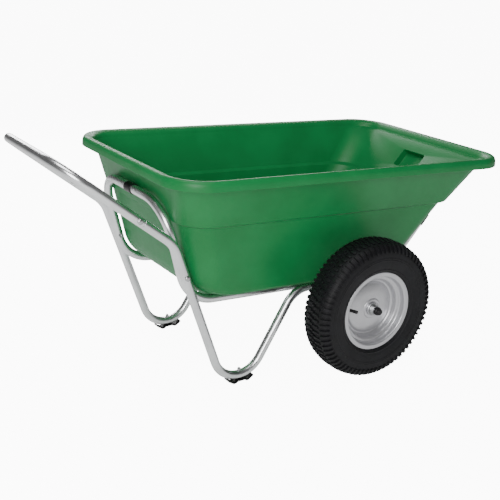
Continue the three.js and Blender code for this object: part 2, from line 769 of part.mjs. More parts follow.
function addWheel(name, side) {
  const wheel = new THREE.Group();
  wheel.position.set(0, side * WHEEL.track, AXLE_HEIGHT);
  wheel.rotation.x = side > 0 ? 0 : Math.PI;
  cart.add(wheel);

  const hole = valveHole();
  const outerHalf = rimHalfGeometry();
  const innerHalf = outerHalf.clone().rotateX(Math.PI);
  add(wheel, `${name}_tyre`, tyreGeometry(), MATERIALS.tyre);
  add(wheel, `${name}_inner_tube`, innerTubeGeometry(), MATERIALS.butyl);
  add(wheel, `${name}_rim_outer_half`, cut(outerHalf, hole), MATERIALS.rimPaint);
  add(wheel, `${name}_rim_inner_half`, innerHalf, MATERIALS.rimPaint);
  const hub = turnedRing(HUB.radius, HUB.bore, -HUB.innerEnd, HUB.outerEnd, BEARING.sides);
  add(wheel, `${name}_hub`, hub, MATERIALS.steel);

  const bore = AXLE.radius + GAP;
  const bearing = (from) => turnedRing(BEARING.radius, bore, from, from + BEARING.width, BEARING.sides);
  const outerBearing = bearing(HUB.outerEnd - BEARING.recess - BEARING.width);
  add(wheel, `${name}_outer_bearing`, outerBearing, MATERIALS.steel);
  add(wheel, `${name}_inner_bearing`, bearing(BEARING.recess - HUB.innerEnd), MATERIALS.steel);

  const { root, end } = valveAxis();
  add(wheel, `${name}_valve_stem`, rod(root, end, VALVE.radius, VALVE.sides), MATERIALS.rubber);

  const washerStart = HUB.outerEnd + GAP;
  const washerEnd = washerStart + WASHER.thickness;
  const washer = turnedRing(WASHER.radius, bore, washerStart, washerEnd, AXLE.sides);
  add(wheel, `${name}_axle_washer`, washer, MATERIALS.steel);
  const axleNut = hexNut(AXLE_NUT.acrossFlats, AXLE_NUT.height, AXLE.radius);
  add(wheel, `${name}_axle_nut`, axleNut, MATERIALS.steel).position.y = washerEnd + GAP;
  add(wheel, `${name}_nut_cap`, nutCapGeometry(), MATERIALS.rubber);
}

// ---------------------------------------------------------------------------------------------------
// Tub: one moulded shell, made of rounded rectangular outlines from its belly up and over the rim, and
// down again on the inside
// ---------------------------------------------------------------------------------------------------

const UNDERSIDE = TUBE.radius + GAP; // the tub rests on the runners
const HOOP_STANDOFF = TUBE.radius + SLEEVE.thickness + 2 * GAP; // hoop centreline to the tub's wall

// How far a wall's line moves sideways when it is moved by a distance square to itself.
const sideways = (slope, distance) => distance * Math.hypot(1, slope);

function sideWall() {
  const foot = BED.halfSpan + SIDE_WALL.outsideRunner;
  return { ...SIDE_WALL, foot, atLedge: foot + SIDE_WALL.lower * (TUB.ledge - UNDERSIDE) + TUB.ledgeStep };
}

// At the ends the tub leaves the runners where their bends start, so the wall's bottom edge starts there.
function endEdge(hoop, foot, lower) {
  const bendStart = Math.abs(hoop.foot) - hoop.footBend * Math.tan((QUARTER_TURN - Math.abs(hoop.lean)) / 2);
  return (foot - bendStart + 4 * GAP) / Math.tan(Math.atan2(1, lower) / 2);
}

// The handle end's upper wall leans on the hoop's top bar.
function handleWall() {
  const foot = -HANDLE_HOOP.foot - HANDLE_WALL.insideHoop;
  const atBar = -hoopX(HANDLE_HOOP, HANDLE_HOOP.height) - sideways(HANDLE_WALL.upper, HOOP_STANDOFF);
  const atLedge = atBar - HANDLE_WALL.upper * (HANDLE_HOOP.height - TUB.ledge);
  const lower = (atLedge - TUB.ledgeStep - foot) / (TUB.ledge - UNDERSIDE);
  return { ...HANDLE_WALL, foot, lower, atLedge, edge: endEdge(HANDLE_HOOP, foot, lower) };
}

// The nose end's lower wall lies along the nose hoop's uprights.
function noseWall() {
  const lower = Math.tan(NOSE_HOOP.lean);
  const line = (height) => hoopX(NOSE_HOOP, height) - sideways(lower, HOOP_STANDOFF);
  const foot = line(UNDERSIDE);
  const atLedge = line(TUB.ledge) + TUB.ledgeStep;
  return { ...NOSE_WALL, foot, lower, atLedge, edge: endEdge(NOSE_HOOP, foot, lower) };
}

const WALLS = { handle: handleWall(), nose: noseWall(), half: sideWall() };

// How far out a wall's surface is at a height; inset is 0 outside and the wall's thickness inside.
function outward(wall, height, inset) {
  const rise = Math.max(height - UNDERSIDE - inset, 0);
  if (height >= TUB.ledge + TUB.ledgeRise + inset) {
    return wall.atLedge + wall.upper * (height - TUB.ledge) - sideways(wall.upper, inset);
  }
  const line = (z) => wall.foot + wall.lower * (z - UNDERSIDE) - sideways(wall.lower, inset);
  const steepness = Math.atan2(1, wall.lower);
  const edge = wall.edge - inset;
  if (rise < edge * (1 - Math.cos(steepness))) {
    const flatEnd = line(UNDERSIDE + inset) - edge * Math.tan(steepness / 2);
    return flatEnd + Math.sqrt(edge ** 2 - (edge - rise) ** 2);
  }
  return line(height);
}

function wallOutline(height, inset) {
  const share = (height - UNDERSIDE) / (TUB.crest - UNDERSIDE);
  const corner = ({ foot, top }) => THREE.MathUtils.lerp(foot, top, share) - inset;
  const reach = (wall) => outward(wall, height, inset);
  return {
    handle: reach(WALLS.handle),
    nose: reach(WALLS.nose),
    half: reach(WALLS.half),
    handleCorner: corner(TUB.handleCorner),
    noseCorner: corner(TUB.noseCorner),
    height,
    fall: 0,
  };
}

// The wall's outlines from the underside up to the rim, closer together round the bottom edge.
function wallOutlines(inset, top) {
  const edgeRiseOf = (wall) => wall.edge * (1 - Math.cos(Math.atan2(1, wall.lower)));
  const edgeRise = Math.max(edgeRiseOf(WALLS.handle), edgeRiseOf(WALLS.nose));
  const heights = [];
  for (let i = 0; i <= TUB.edgeSteps; i++) {
    heights.push(UNDERSIDE + inset + edgeRise * (i / TUB.edgeSteps) ** 2);
  }
  heights.push(TUB.ledge + inset, TUB.ledge + TUB.ledgeRise + inset, top);
  return heights.map((height) => wallOutline(height, inset));
}

function bellyOutlines(inset) {
  const outline = (narrowing, height, fall) => ({
    handle: BELLY.handleEnd - narrowing,
    nose: BELLY.noseEnd - narrowing,
    half: BELLY.halfWidth - narrowing,
    handleCorner: BELLY.corner - narrowing,
    noseCorner: BELLY.corner - narrowing,
    height: height + inset,
    fall,
  });
  return [outline(BELLY.draft + inset, -BELLY.depth, BELLY.fall), outline(inset, UNDERSIDE, 0)];
}

// The rim's middle line, from the top of the wall out over the crest and down the skirt. Its points are
// offsets out from the wall's line at crest height, and up from the crest.
function rimOutlines() {
  const half = TUB.wall / 2;
  const out = TUB.flange - half;
  const middle = new THREE.SplineCurve([
    flatPoint(-4.5, -20),
    flatPoint(0, -9),
    flatPoint(out * 0.35, -half - 1.5),
    flatPoint(out * 0.75, -half),
    flatPoint(out - 1, -half - 9),
    flatPoint(out, -TUB.skirt),
  ]).getPoints(TUB.rimSteps);
  const { right, left } = sheetSides(middle, TUB.wall);
  const outline = (p) => ({
    handle: WALLS.handle.atLedge + WALLS.handle.upper * (TUB.crest - TUB.ledge) + p.x,
    nose: WALLS.nose.atLedge + WALLS.nose.upper * (TUB.crest - TUB.ledge) + p.x,
    half: WALLS.half.atLedge + WALLS.half.upper * (TUB.crest - TUB.ledge) + p.x,
    handleCorner: TUB.handleCorner.top + p.x,
    noseCorner: TUB.noseCorner.top + p.x,
    height: TUB.crest + p.y,
    fall: 0,
  });
  return [...right.map(outline), ...left.reverse().map(outline)];
}

function outlinePoints({ handle, nose, half, handleCorner, noseCorner, height, fall }) {
  const corners = [
    { radius: noseCorner, x: nose - noseCorner, y: half - noseCorner },
    { radius: handleCorner, x: handleCorner - handle, y: half - handleCorner },
    { radius: handleCorner, x: handleCorner - handle, y: handleCorner - half },
    { radius: noseCorner, x: nose - noseCorner, y: noseCorner - half },
  ];
  return corners.flatMap((corner, quarter) =>
    Array.from({ length: TUB.cornerSegments + 1 }, (_, i) => {
      const angle = QUARTER_TURN * (quarter + i / TUB.cornerSegments);
      const x = corner.x + corner.radius * Math.cos(angle);
      return point(x, corner.y + corner.radius * Math.sin(angle), height + fall * (x + handle));
    }),
  );
}

// A closed skin through outlines with the same number of points, with a flat face at each end.
function skinGeometry(outlines) {
  const rows = outlines.map(outlinePoints);
  const count = rows[0].length;
  const index = [];
  for (let row = 0; row + 1 < rows.length; row++) {
    for (let i = 0; i < count; i++) {
      const next = (i + 1) % count;
      const [a, b] = [row * count + i, row * count + next];
      index.push(a, b, b + count, a, b + count, a + count);
    }
  }
  const last = (rows.length - 1) * count;
  const flat = rows[0].map((p) => flatPoint(p.x, p.y));
  for (const [a, b, c] of THREE.ShapeUtils.triangulateShape(flat, [])) {
    index.push(a, c, b);
    index.push(last + a, last + b, last + c);
  }
  const geometry = new THREE.BufferGeometry().setFromPoints(rows.flat());
  geometry.setIndex(index);
  return geometry;
}

// A block with rounded corners against the nose wall: its face is square to that wall, and it reaches
// from one depth behind the wall's outer surface to another.
function handHoldBlock(grow, from, to) {
  const width = HAND_HOLD.width + 2 * grow;
  const height = HAND_HOLD.height + 2 * grow;
  const corner = HAND_HOLD.corner + grow;
  const shape = new THREE.Shape();
  const [x, y] = [width / 2 - corner, height / 2 - corner];
  shape.absarc(x, y, corner, 0, QUARTER_TURN);
  shape.absarc(-x, y, corner, QUARTER_TURN, 2 * QUARTER_TURN);
  shape.absarc(-x, -y, corner, 2 * QUARTER_TURN, 3 * QUARTER_TURN);
  shape.absarc(x, -y, corner, 3 * QUARTER_TURN, FULL_TURN);
  const options = { depth: to - from, bevelEnabled: false, curveSegments: 4 };
  const block = new THREE.ExtrudeGeometry(shape, options).translate(0, 0, from);
  const lean = Math.atan(NOSE_WALL.upper);
  const centreHeight = TUB.crest - HAND_HOLD.belowCrest - (HAND_HOLD.height / 2) * Math.cos(lean);
  const frame = new THREE.Matrix4().makeBasis(
    point(0, 1, 0),
    point(Math.sin(lean), 0, Math.cos(lean)),
    point(Math.cos(lean), 0, -Math.sin(lean)),
  );
  frame.setPosition(outward(WALLS.nose, centreHeight, 0), 0, centreHeight);
  return block.applyMatrix4(frame);
}

function addTub() {
  const top = TUB.crest - TUB.skirt;
  const outside = [...bellyOutlines(0), ...wallOutlines(0, top)];
  const inside = [...bellyOutlines(TUB.wall), ...wallOutlines(TUB.wall, top)].reverse();
  const shell = skinGeometry([...outside, ...rimOutlines(), ...inside]);
  const pocketWall = handHoldBlock(TUB.wall, -TUB.wall, HAND_HOLD.depth);
  const pocket = handHoldBlock(0, -3 * TUB.wall, HAND_HOLD.depth - TUB.wall);
  add(bed, "tub", cut(join(shell, pocketWall), pocket), MATERIALS.plastic);
}

// ---------------------------------------------------------------------------------------------------
// The cart
// ---------------------------------------------------------------------------------------------------

addBedTubes();
addSleeves();
addLegs();
addHandleLoop();
addFeet();
addAxle();
addSpacers();
for (const [name, side] of Object.entries(SIDES)) addWheel(name, side);
addTub();

const box = new THREE.Box3().setFromObject(cart, true);
const centre = box.getCenter(new THREE.Vector3());
cart.position.set(-centre.x, -centre.y, -box.min.z);

export default cart;
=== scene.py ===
"""Looks for the garden cart: smooth tub, bent tubes, pneumatic wheels and fastenings over the CAD frame.

Shapes are built in millimetres in the cart's own frame (ground point under the axle at the origin, +X
towards the nose, near side -Y) or in the bed's frame, and are then placed in the row frame in metres.
"""

import json
import math

import bmesh
import bpy
from mathutils import Matrix, Vector

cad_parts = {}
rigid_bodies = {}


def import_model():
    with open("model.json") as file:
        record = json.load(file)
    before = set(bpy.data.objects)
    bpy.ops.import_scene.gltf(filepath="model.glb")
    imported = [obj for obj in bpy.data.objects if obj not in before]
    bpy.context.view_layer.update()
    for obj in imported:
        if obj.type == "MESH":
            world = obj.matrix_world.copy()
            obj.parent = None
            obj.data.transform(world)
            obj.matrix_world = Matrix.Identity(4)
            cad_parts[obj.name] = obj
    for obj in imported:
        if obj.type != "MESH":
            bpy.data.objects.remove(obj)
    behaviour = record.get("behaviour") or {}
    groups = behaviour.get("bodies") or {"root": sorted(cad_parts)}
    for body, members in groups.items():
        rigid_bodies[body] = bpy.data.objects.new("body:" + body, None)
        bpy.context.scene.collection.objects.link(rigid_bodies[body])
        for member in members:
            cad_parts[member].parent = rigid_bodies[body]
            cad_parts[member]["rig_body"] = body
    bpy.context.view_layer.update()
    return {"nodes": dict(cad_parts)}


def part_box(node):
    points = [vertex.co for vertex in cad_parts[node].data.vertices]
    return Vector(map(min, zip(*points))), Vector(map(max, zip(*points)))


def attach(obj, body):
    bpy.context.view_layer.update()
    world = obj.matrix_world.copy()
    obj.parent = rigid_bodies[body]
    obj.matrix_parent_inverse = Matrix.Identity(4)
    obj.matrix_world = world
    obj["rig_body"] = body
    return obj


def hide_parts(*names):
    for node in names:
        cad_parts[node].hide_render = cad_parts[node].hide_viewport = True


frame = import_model()

# ----------------------------------------------------------------------------------------------------
# Dimensions, in millimetres and radians
# ----------------------------------------------------------------------------------------------------

MM = 0.001
SIDES = {"left": 1, "right": -1}
TUBE, BORE = 12.5, 10.7  # radii
BED_TILT = math.radians(4.8)
BED_HEIGHT = 226
RUNNER_Y, LEG_Y = 190, 215.7
HANDLE_HOOP = {"foot": -490, "lean": math.radians(-17), "height": 275, "foot_bend": 105, "top_bend": 100}
NOSE_HOOP = {"foot": 199, "lean": math.radians(39.5), "height": 214, "foot_bend": 100, "top_bend": 54}
RUNNER_JOINT = 75
SLEEVE = {"thickness": 2.3, "length": 38}
LEG_BENDS = {"elbow": 100, "foot": 81, "strut": 80}
FOOT_X, FOOT_Z = -343, 21  # middle of the tube on its pad
ELBOW_HEIGHT, SEAM_REACH, BAR_REACH = 448, 112, 380
STRUT_END = 45
HANDLE_CORNER = 95
SEAM_GAP = 0.3

AXLE_HEIGHT = 200
AXLE_RADIUS, AXLE_END = 8, 405
AXLE_BORE = 8.3
TRACK = 357
TYRE_SEGMENTS = 144
LUGS = {"count": 72, "height": 4.5, "width": 7.6, "end_drop": 0.9, "edge_drop": 0.8}
SHOULDER = {"from": 28.5, "down_to": 171.5}  # the stretch of the tyre's section under the shoulder bars
SECTION_STEP = 1.2
SIDEWALL_RIDGES = ((157, 0.9, 1.1), (151.5, 0.9, 1.1), (123, 1.4, 1.6))  # radius, height and half width
RIM_HALF_SHEET = 0.9
VALVE = {"turn": math.radians(12), "angle": math.radians(30), "root": (-106, -4, 0)}
# Places along the axle are counted outwards from the tyre's middle.
HUB = {"radius": 19.8, "bore": 17.7, "inner_end": -52, "outer_end": 24}
BEARING = {"radius": 17.3, "width": 11, "outer": 12, "inner": -51}
WASHER = {"radius": 16, "start": 24.3, "end": 26.8, "chamfer": 0.4}
AXLE_NUT = {"flats": 24, "height": 10, "bore": 8.2, "start": 27.1}
SPACER_RADIUS = 10.9
BRACKET = {"top": -13, "bottom": -18, "boss": 15, "half": 44, "bevel": 0.9}
PAD = {"width": 26, "bevel": 0.7}
FRAME_BOLT = {"radius": 4, "head": 8, "head_height": 4.5, "flats": 13, "nut_height": 6.5}
FOOT_BOLT = {"radius": 3, "head": 6.5, "head_height": 2.6, "flats": 10, "nut_height": 5}
THREAD_LENGTH = 14

UNDERSIDE = 13.0  # of the tub, over the runner's middle line
TUB = {"wall": 4, "crest": 367, "ledge": 224, "step": 10, "rise": 5, "flange": 29, "skirt": 27}
HANDLE_CORNERS, NOSE_CORNERS = (80, 85), (60, 80)  # at the foot and at the crest
SIDE_WALL = {"outside_runner": 42, "lower": 0.15, "upper": 0.262, "edge": 16}
HANDLE_WALL = {"inside_hoop": 6, "upper": 0.26}
NOSE_WALL = {"upper": 0.827}
HOOP_STANDOFF = 15.3
EDGE_CLEARANCE = 1.2
BELLY = {"half": 166, "handle": 398, "nose": 132, "depth": 32, "fall": 0.045, "draft": 14, "corner": 60}
BELLY_FLOOR_INSET = 18
BELLY_SOFT, EDGE_SOFT, LEDGE_SOFT = 7, 5, 2.2
EDGE_STEPS, RIM_STEPS = 14, 5
EDGE_ROUND = 1.3
POCKET_OVERLAP = 0.4  # of the hand hold's block and the wall that it joins
HAND_HOLD = {"width": 100, "height": 62, "depth": 24, "corner": 9, "below": 53}
QUARTER = math.pi / 2
FULL_TURN = 2 * math.pi
MOST_CUT = 0.48  # share of an edge that a softened corner may take

# ----------------------------------------------------------------------------------------------------
# Places
# ----------------------------------------------------------------------------------------------------


def middle_of(node):
    low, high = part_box(node)
    return (low + high) / 2


AXLE_X = middle_of("axle").x
CART = Matrix.Translation((AXLE_X, 0, 0)) @ Matrix.Scale(MM, 4)
BED = CART @ Matrix.Translation((0, 0, BED_HEIGHT)) @ Matrix.Rotation(BED_TILT, 4, "Y")


def facing(side):
    """A turn that makes +Y point out of the cart on either side."""
    return Matrix.Rotation(QUARTER - side * QUARTER, 4, "X")


def wheel_place(side):
    return CART @ Matrix.Translation((0, side * TRACK, AXLE_HEIGHT)) @ facing(side)


# ----------------------------------------------------------------------------------------------------
# Materials
# ----------------------------------------------------------------------------------------------------


def new_material(name, color, roughness, metallic=0.0, coat=0.0, specular=0.5):
    material = bpy.data.materials.new(name)
    material.use_nodes = True
    shader = material.node_tree.nodes["Principled BSDF"]
    shader.inputs["Base Color"].default_value = (*color, 1)
    shader.inputs["Roughness"].default_value = roughness
    shader.inputs["Metallic"].default_value = metallic
    shader.inputs["Coat Weight"].default_value = coat
    shader.inputs["Specular IOR Level"].default_value = specular
    return material


def coordinates(material, source, scale):
    nodes, links = material.node_tree.nodes, material.node_tree.links
    place = nodes.new("ShaderNodeTexCoord")
    mapping = nodes.new("ShaderNodeMapping")
    mapping.inputs["Scale"].default_value = scale
    links.new(place.outputs[source], mapping.inputs["Vector"])
    return mapping.outputs["Vector"]


def noise(material, scale, detail=3.0, source="Object", stretch=(1, 1, 1)):
    texture = material.node_tree.nodes.new("ShaderNodeTexNoise")
    texture.inputs["Scale"].default_value = scale
    texture.inputs["Detail"].default_value = detail
    material.node_tree.links.new(coordinates(material, source, stretch), texture.inputs["Vector"])
    return texture.outputs["Fac"]


def vary_roughness(material, value, low, high):
    spread = material.node_tree.nodes.new("ShaderNodeMapRange")
    spread.inputs["To Min"].default_value = low
    spread.inputs["To Max"].default_value = high
    shader = material.node_tree.nodes["Principled BSDF"]
    material.node_tree.links.new(value, spread.inputs["Value"])
    material.node_tree.links.new(spread.outputs["Result"], shader.inputs["Roughness"])


def vary_color(material, value, dark, light):
    ramp = material.node_tree.nodes.new("ShaderNodeValToRGB")
    ramp.color_ramp.elements[0].position = 0.35
    ramp.color_ramp.elements[0].color = (*dark, 1)
    ramp.color_ramp.elements[1].position = 0.65
    ramp.color_ramp.elements[1].color = (*light, 1)
    shader = material.node_tree.nodes["Principled BSDF"]
    material.node_tree.links.new(value, ramp.inputs["Fac"])
    material.node_tree.links.new(ramp.outputs["Color"], shader.inputs["Base Color"])


def add_bump(material, value, strength, distance):
    bump = material.node_tree.nodes.new("ShaderNodeBump")
    bump.inputs["Strength"].default_value = strength
    bump.inputs["Distance"].default_value = distance
    shader = material.node_tree.nodes["Principled BSDF"]
    material.node_tree.links.new(value, bump.inputs["Height"])
    material.node_tree.links.new(bump.outputs["Normal"], shader.inputs["Normal"])


def tub_plastic():
    made = new_material("tub_plastic", (0.008, 0.2, 0.05), 0.4, specular=0.35)
    vary_color(made, noise(made, 9, 4), (0.007, 0.185, 0.045), (0.01, 0.215, 0.056))
    vary_roughness(made, noise(made, 60, 5), 0.36, 0.48)
    add_bump(made, noise(made, 700, 2), 0.08, 0.0004)
    return made


def drawn_aluminium():
    made = new_material("drawn_aluminium", (0.86, 0.87, 0.88), 0.27, metallic=1)
    lines = noise(made, 60, 3, source="UV", stretch=(0.5, 6, 1))
    vary_roughness(made, lines, 0.2, 0.36)
    vary_color(made, noise(made, 14, 4), (0.8, 0.81, 0.82), (0.9, 0.91, 0.92))
    add_bump(made, lines, 0.03, 0.0003)
    return made


def cast_aluminium():
    made = new_material("cast_aluminium", (0.62, 0.63, 0.64), 0.45, metallic=1)
    vary_roughness(made, noise(made, 200, 4), 0.38, 0.55)
    add_bump(made, noise(made, 900, 2), 0.15, 0.0003)
    return made


def zinc_steel():
    made = new_material("zinc_steel", (0.55, 0.56, 0.57), 0.3, metallic=1)
    vary_roughness(made, noise(made, 300, 4), 0.22, 0.42)
    vary_color(made, noise(made, 120, 3), (0.48, 0.49, 0.5), (0.62, 0.63, 0.63))
    return made


def silver_paint():
    made = new_material("silver_paint", (0.56, 0.56, 0.58), 0.34, metallic=0.75, coat=0.25)
    vary_color(made, noise(made, 1400, 2), (0.5, 0.5, 0.52), (0.62, 0.62, 0.64))
    vary_roughness(made, noise(made, 40, 4), 0.3, 0.42)
    add_bump(made, noise(made, 900, 2), 0.05, 0.0002)
    return made


def tyre_rubber():
    made = new_material("tyre_rubber", (0.004, 0.004, 0.005), 0.5, specular=0.3)
    vary_color(made, noise(made, 25, 5), (0.003, 0.003, 0.004), (0.006, 0.006, 0.008))
    vary_roughness(made, noise(made, 50, 5), 0.45, 0.68)
    add_bump(made, noise(made, 600, 3), 0.15, 0.0004)
    return made


def black_rubber():
    made = new_material("black_rubber", (0.004, 0.004, 0.0045), 0.35, specular=0.4)
    vary_roughness(made, noise(made, 120, 4), 0.28, 0.45)
    add_bump(made, noise(made, 800, 2), 0.08, 0.0003)
    return made


def painted_steel():
    made = new_material("painted_steel", (0.005, 0.005, 0.0055), 0.4, specular=0.4)
    vary_roughness(made, noise(made, 150, 4), 0.32, 0.55)
    add_bump(made, noise(made, 500, 3), 0.1, 0.0003)
    return made


PLASTIC = tub_plastic()
ALUMINIUM = drawn_aluminium()
CASTING = cast_aluminium()
STEEL = zinc_steel()
PAINT = silver_paint()
TYRE_RUBBER = tyre_rubber()
RUBBER = black_rubber()
PAD_STEEL = painted_steel()

# ----------------------------------------------------------------------------------------------------
# Making pieces
# ----------------------------------------------------------------------------------------------------


def finished(mesh, material, sharp=35):
    mesh.materials.clear()
    mesh.materials.append(material)
    mesh.polygons.foreach_set("use_smooth", [True] * len(mesh.polygons))
    mesh.set_sharp_from_angle(angle=math.radians(sharp))


def piece(name, bm, place, material, body, nodes=(), sharp=35):
    bmesh.ops.recalc_face_normals(bm, faces=bm.faces)
    mesh = bpy.data.meshes.new(name)
    bm.to_mesh(mesh)
    bm.free()
    mesh.transform(place)
    finished(mesh, material, sharp)
    made = bpy.data.objects.new(name, mesh)
    bpy.context.scene.collection.objects.link(made)
    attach(made, body)
    if nodes:
        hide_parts(*nodes)
    return made


def bridge(bm, rings, closed_ends=(True, True), uv_steps=None):
    """Quads between rings of the same number of vertices, with flat ends where asked."""
    count = len(rings[0])
    uv = bm.loops.layers.uv.verify()
    for row in range(len(rings) - 1):
        for i in range(count):
            j = (i + 1) % count
            face = bm.faces.new((rings[row][i], rings[row][j], rings[row + 1][j], rings[row + 1][i]))
            if uv_steps:
                around = (i / count, (i + 1) / count)
                corners = ((row, 0), (row, 1), (row + 1, 1), (row + 1, 0))
                for loop, (at, side) in zip(face.loops, corners):
                    loop[uv].uv = (uv_steps[at], around[side])
    if closed_ends[0]:
        bm.faces.new(rings[0])
    if closed_ends[1]:
        bm.faces.new(rings[-1])


def softened(points, reach, steps=4, loop=False):
    """A polyline with each corner turned to a curve that starts up to reach before the corner."""
    made = [] if loop else [points[0]]
    last = len(points)
    for i in range(0 if loop else 1, last if loop else last - 1):
        before, corner, after = points[i - 1], points[i], points[(i + 1) % last]
        start = corner.lerp(before, min(MOST_CUT, reach / (corner - before).length))
        end = corner.lerp(after, min(MOST_CUT, reach / (corner - after).length))
        for k in range(steps + 1):
            t = k / steps
            made.append(start * (1 - t) ** 2 + corner * 2 * t * (1 - t) + end * t**2)
    if not loop:
        made.append(points[-1])
    return made


def profile(*pairs, soft=0.0, steps=3):
    points = [Vector(p) for p in pairs]
    return softened(points, soft, steps) if soft else points


def lathe(outline, segments=48):
    """Turned about the Y axis: each point of the outline is (radius, place along Y)."""
    bm = bmesh.new()
    columns = []
    for i in range(segments):
        angle = FULL_TURN * i / segments
        columns.append([bm.verts.new((r * math.sin(angle), y, r * math.cos(angle))) for r, y in outline])
    for i in range(segments):
        one, two = columns[i], columns[(i + 1) % segments]
        for k in range(len(outline) - 1):
            bm.faces.new((one[k], one[k + 1], two[k + 1], two[k]))
    bmesh.ops.remove_doubles(bm, verts=bm.verts, dist=1e-4)
    return bm


def extruded(outline, width, bevel=0.0):
    """An outline in the XZ plane, made solid along Y to both sides of the plane."""
    bm = bmesh.new()
    rings = [[bm.verts.new((p.x, y, p.y)) for p in outline] for y in (-width / 2, width / 2)]
    bridge(bm, rings)
    if bevel:
        edges = [e for e in bm.edges if len(e.link_faces) == 2 and e.calc_face_angle() > 0.5]
        bmesh.ops.bevel(bm, geom=edges, offset=bevel, segments=3, affect="EDGES", profile=0.5)
    return bm


# ----------------------------------------------------------------------------------------------------
# Bent tubes
# ----------------------------------------------------------------------------------------------------

BEND_STEP = math.radians(4)


def bent_route(corners, radii):
    """Stations (place, direction) along straight runs with an arc at each inner corner."""
    stations = [(corners[0], (corners[1] - corners[0]).normalized())]
    for i, radius in enumerate(radii):
        corner = corners[i + 1]
        before = (corner - corners[i]).normalized()
        after = (corners[i + 2] - corner).normalized()
        turn = before.angle(after)
        axis = before.cross(after).normalized()
        start = corner - before * radius * math.tan(turn / 2)
        centre = start + axis.cross(before) * radius
        steps = max(2, math.ceil(turn / BEND_STEP))
        for k in range(steps + 1):
            spin = Matrix.Rotation(turn * k / steps, 3, axis)
            stations.append((centre + spin @ (start - centre), spin @ before))
    stations.append((corners[-1], (corners[-1] - corners[-2]).normalized()))
    return stations


def ring_stations(stations, radius, bore, mouth):
    """Stations with a radius: in at one open end, along the outside, and in again at the other end."""
    chamfer = 0.5
    (first, out), (last, end) = stations[0], stations[-1]
    begin = [(first + out * mouth, out, bore), (first, out, bore), (first, out, radius - chamfer)]
    begin.append((first + out * chamfer, out, radius))
    finish = [(last - end * chamfer, end, radius), (last, end, radius - chamfer), (last, end, bore)]
    finish.append((last - end * mouth, end, bore))
    return begin + [(p, d, radius) for p, d in stations[1:-1]] + finish


def swept(stations, radius=TUBE, bore=BORE, sides=32, mouth=30):
    bm = bmesh.new()
    across = stations[0][1].orthogonal().normalized()
    rings, lengths, travelled, previous = [], [], 0.0, None
    for place, along, size in ring_stations(stations, radius, bore, mouth):
        if previous:
            travelled += (place - previous[0]).length * MM
            across = previous[1].rotation_difference(along) @ across
        up = along.cross(across)
        angles = [FULL_TURN * i / sides for i in range(sides)]
        points = [place + (across * math.cos(a) + up * math.sin(a)) * size for a in angles]
        rings.append([bm.verts.new(p) for p in points])
        lengths.append(travelled)
        previous = (place, along)
    bridge(bm, rings, uv_steps=lengths)
    return bm


def tube(name, corners, radii, place, nodes, slot="tube_aluminium", material=None, **shape):
    bm = swept(bent_route(corners, radii), **shape)
    return piece(name, bm, place, material or ALUMINIUM, FRAME_BODY, nodes)


FRAME_BODY = frame["nodes"]["axle"]["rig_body"]


def hoop_x(hoop, height):
    return hoop["foot"] + height * math.tan(hoop["lean"])


def hoop_corners(hoop, end):
    side_line = [(end, 0), (hoop["foot"], 0), (hoop_x(hoop, hoop["height"]), hoop["height"])]
    near = [Vector((x, -RUNNER_Y, z)) for x, z in side_line]
    return near + [Vector((x, RUNNER_Y, z)) for x, z in reversed(side_line)]


def add_bed_tubes():
    for hoop, name, end in ((HANDLE_HOOP, "bed_tube_handle_end", -1), (NOSE_HOOP, "bed_tube_nose_end", 1)):
        corners = hoop_corners(hoop, RUNNER_JOINT + end * SEAM_GAP / 2)
        bends = (hoop["foot_bend"], hoop["top_bend"], hoop["top_bend"], hoop["foot_bend"])
        tube(f"{name}_smooth", corners, bends, BED, [name])


def add_sleeves():
    size = {"radius": TUBE + SLEEVE["thickness"], "bore": TUBE + 0.1, "mouth": 3, "material": RUBBER}
    bar = Vector((hoop_x(HANDLE_HOOP, HANDLE_HOOP["height"]), 0, HANDLE_HOOP["height"]))
    half = Vector((0, SLEEVE["length"] / 2, 0))
    tube("hoop_bar_sleeve", [bar - half, bar + half], [], BED, ["handle_hoop_sleeve"], "black_rubber", **size)
    top = NOSE_HOOP["height"] - NOSE_HOOP["top_bend"] * math.cos(NOSE_HOOP["lean"]) - SEAM_GAP
    bottom = top - SLEEVE["length"] * math.cos(NOSE_HOOP["lean"])
    for name, side in SIDES.items():
        ends = [Vector((hoop_x(NOSE_HOOP, z), side * RUNNER_Y, z)) for z in (bottom, top)]
        tube(f"{name}_upright_sleeve", ends, [], BED, [f"{name}_nose_hoop_sleeve"], "black_rubber", **size)


# The leg's lines touch the circle of the foot bend, which stands on the pad.
LEG_LEAN, STRUT_RISE, ARM_RISE = math.radians(17.5), math.radians(56.5), math.radians(40.3)
LEG_LINE = Vector((-math.sin(LEG_LEAN), 0, math.cos(LEG_LEAN)))
STRUT_LINE = Vector((math.cos(STRUT_RISE), 0, math.sin(STRUT_RISE)))
ARM_LINE = Vector((-math.cos(ARM_RISE), 0, math.sin(ARM_RISE)))
RUNNER_LINE = Vector((math.cos(BED_TILT), 0, -math.sin(BED_TILT)))
FOOT_ARC = Vector((FOOT_X, 0, FOOT_Z + LEG_BENDS["foot"]))


def in_bed(x, z):
    """A place in the bed's frame, seen in the cart's frame."""
    turned = Matrix.Rotation(BED_TILT, 3, "Y") @ Vector((x, 0, z))
    return turned + Vector((0, 0, BED_HEIGHT))


def crossing(a, along_a, b, along_b):
    """Where two lines in the plane of the cart's side meet."""
    between = b - a
    turn = along_a.x * along_b.z - along_a.z * along_b.x
    return a + along_a * ((between.x * along_b.z - between.z * along_b.x) / turn)


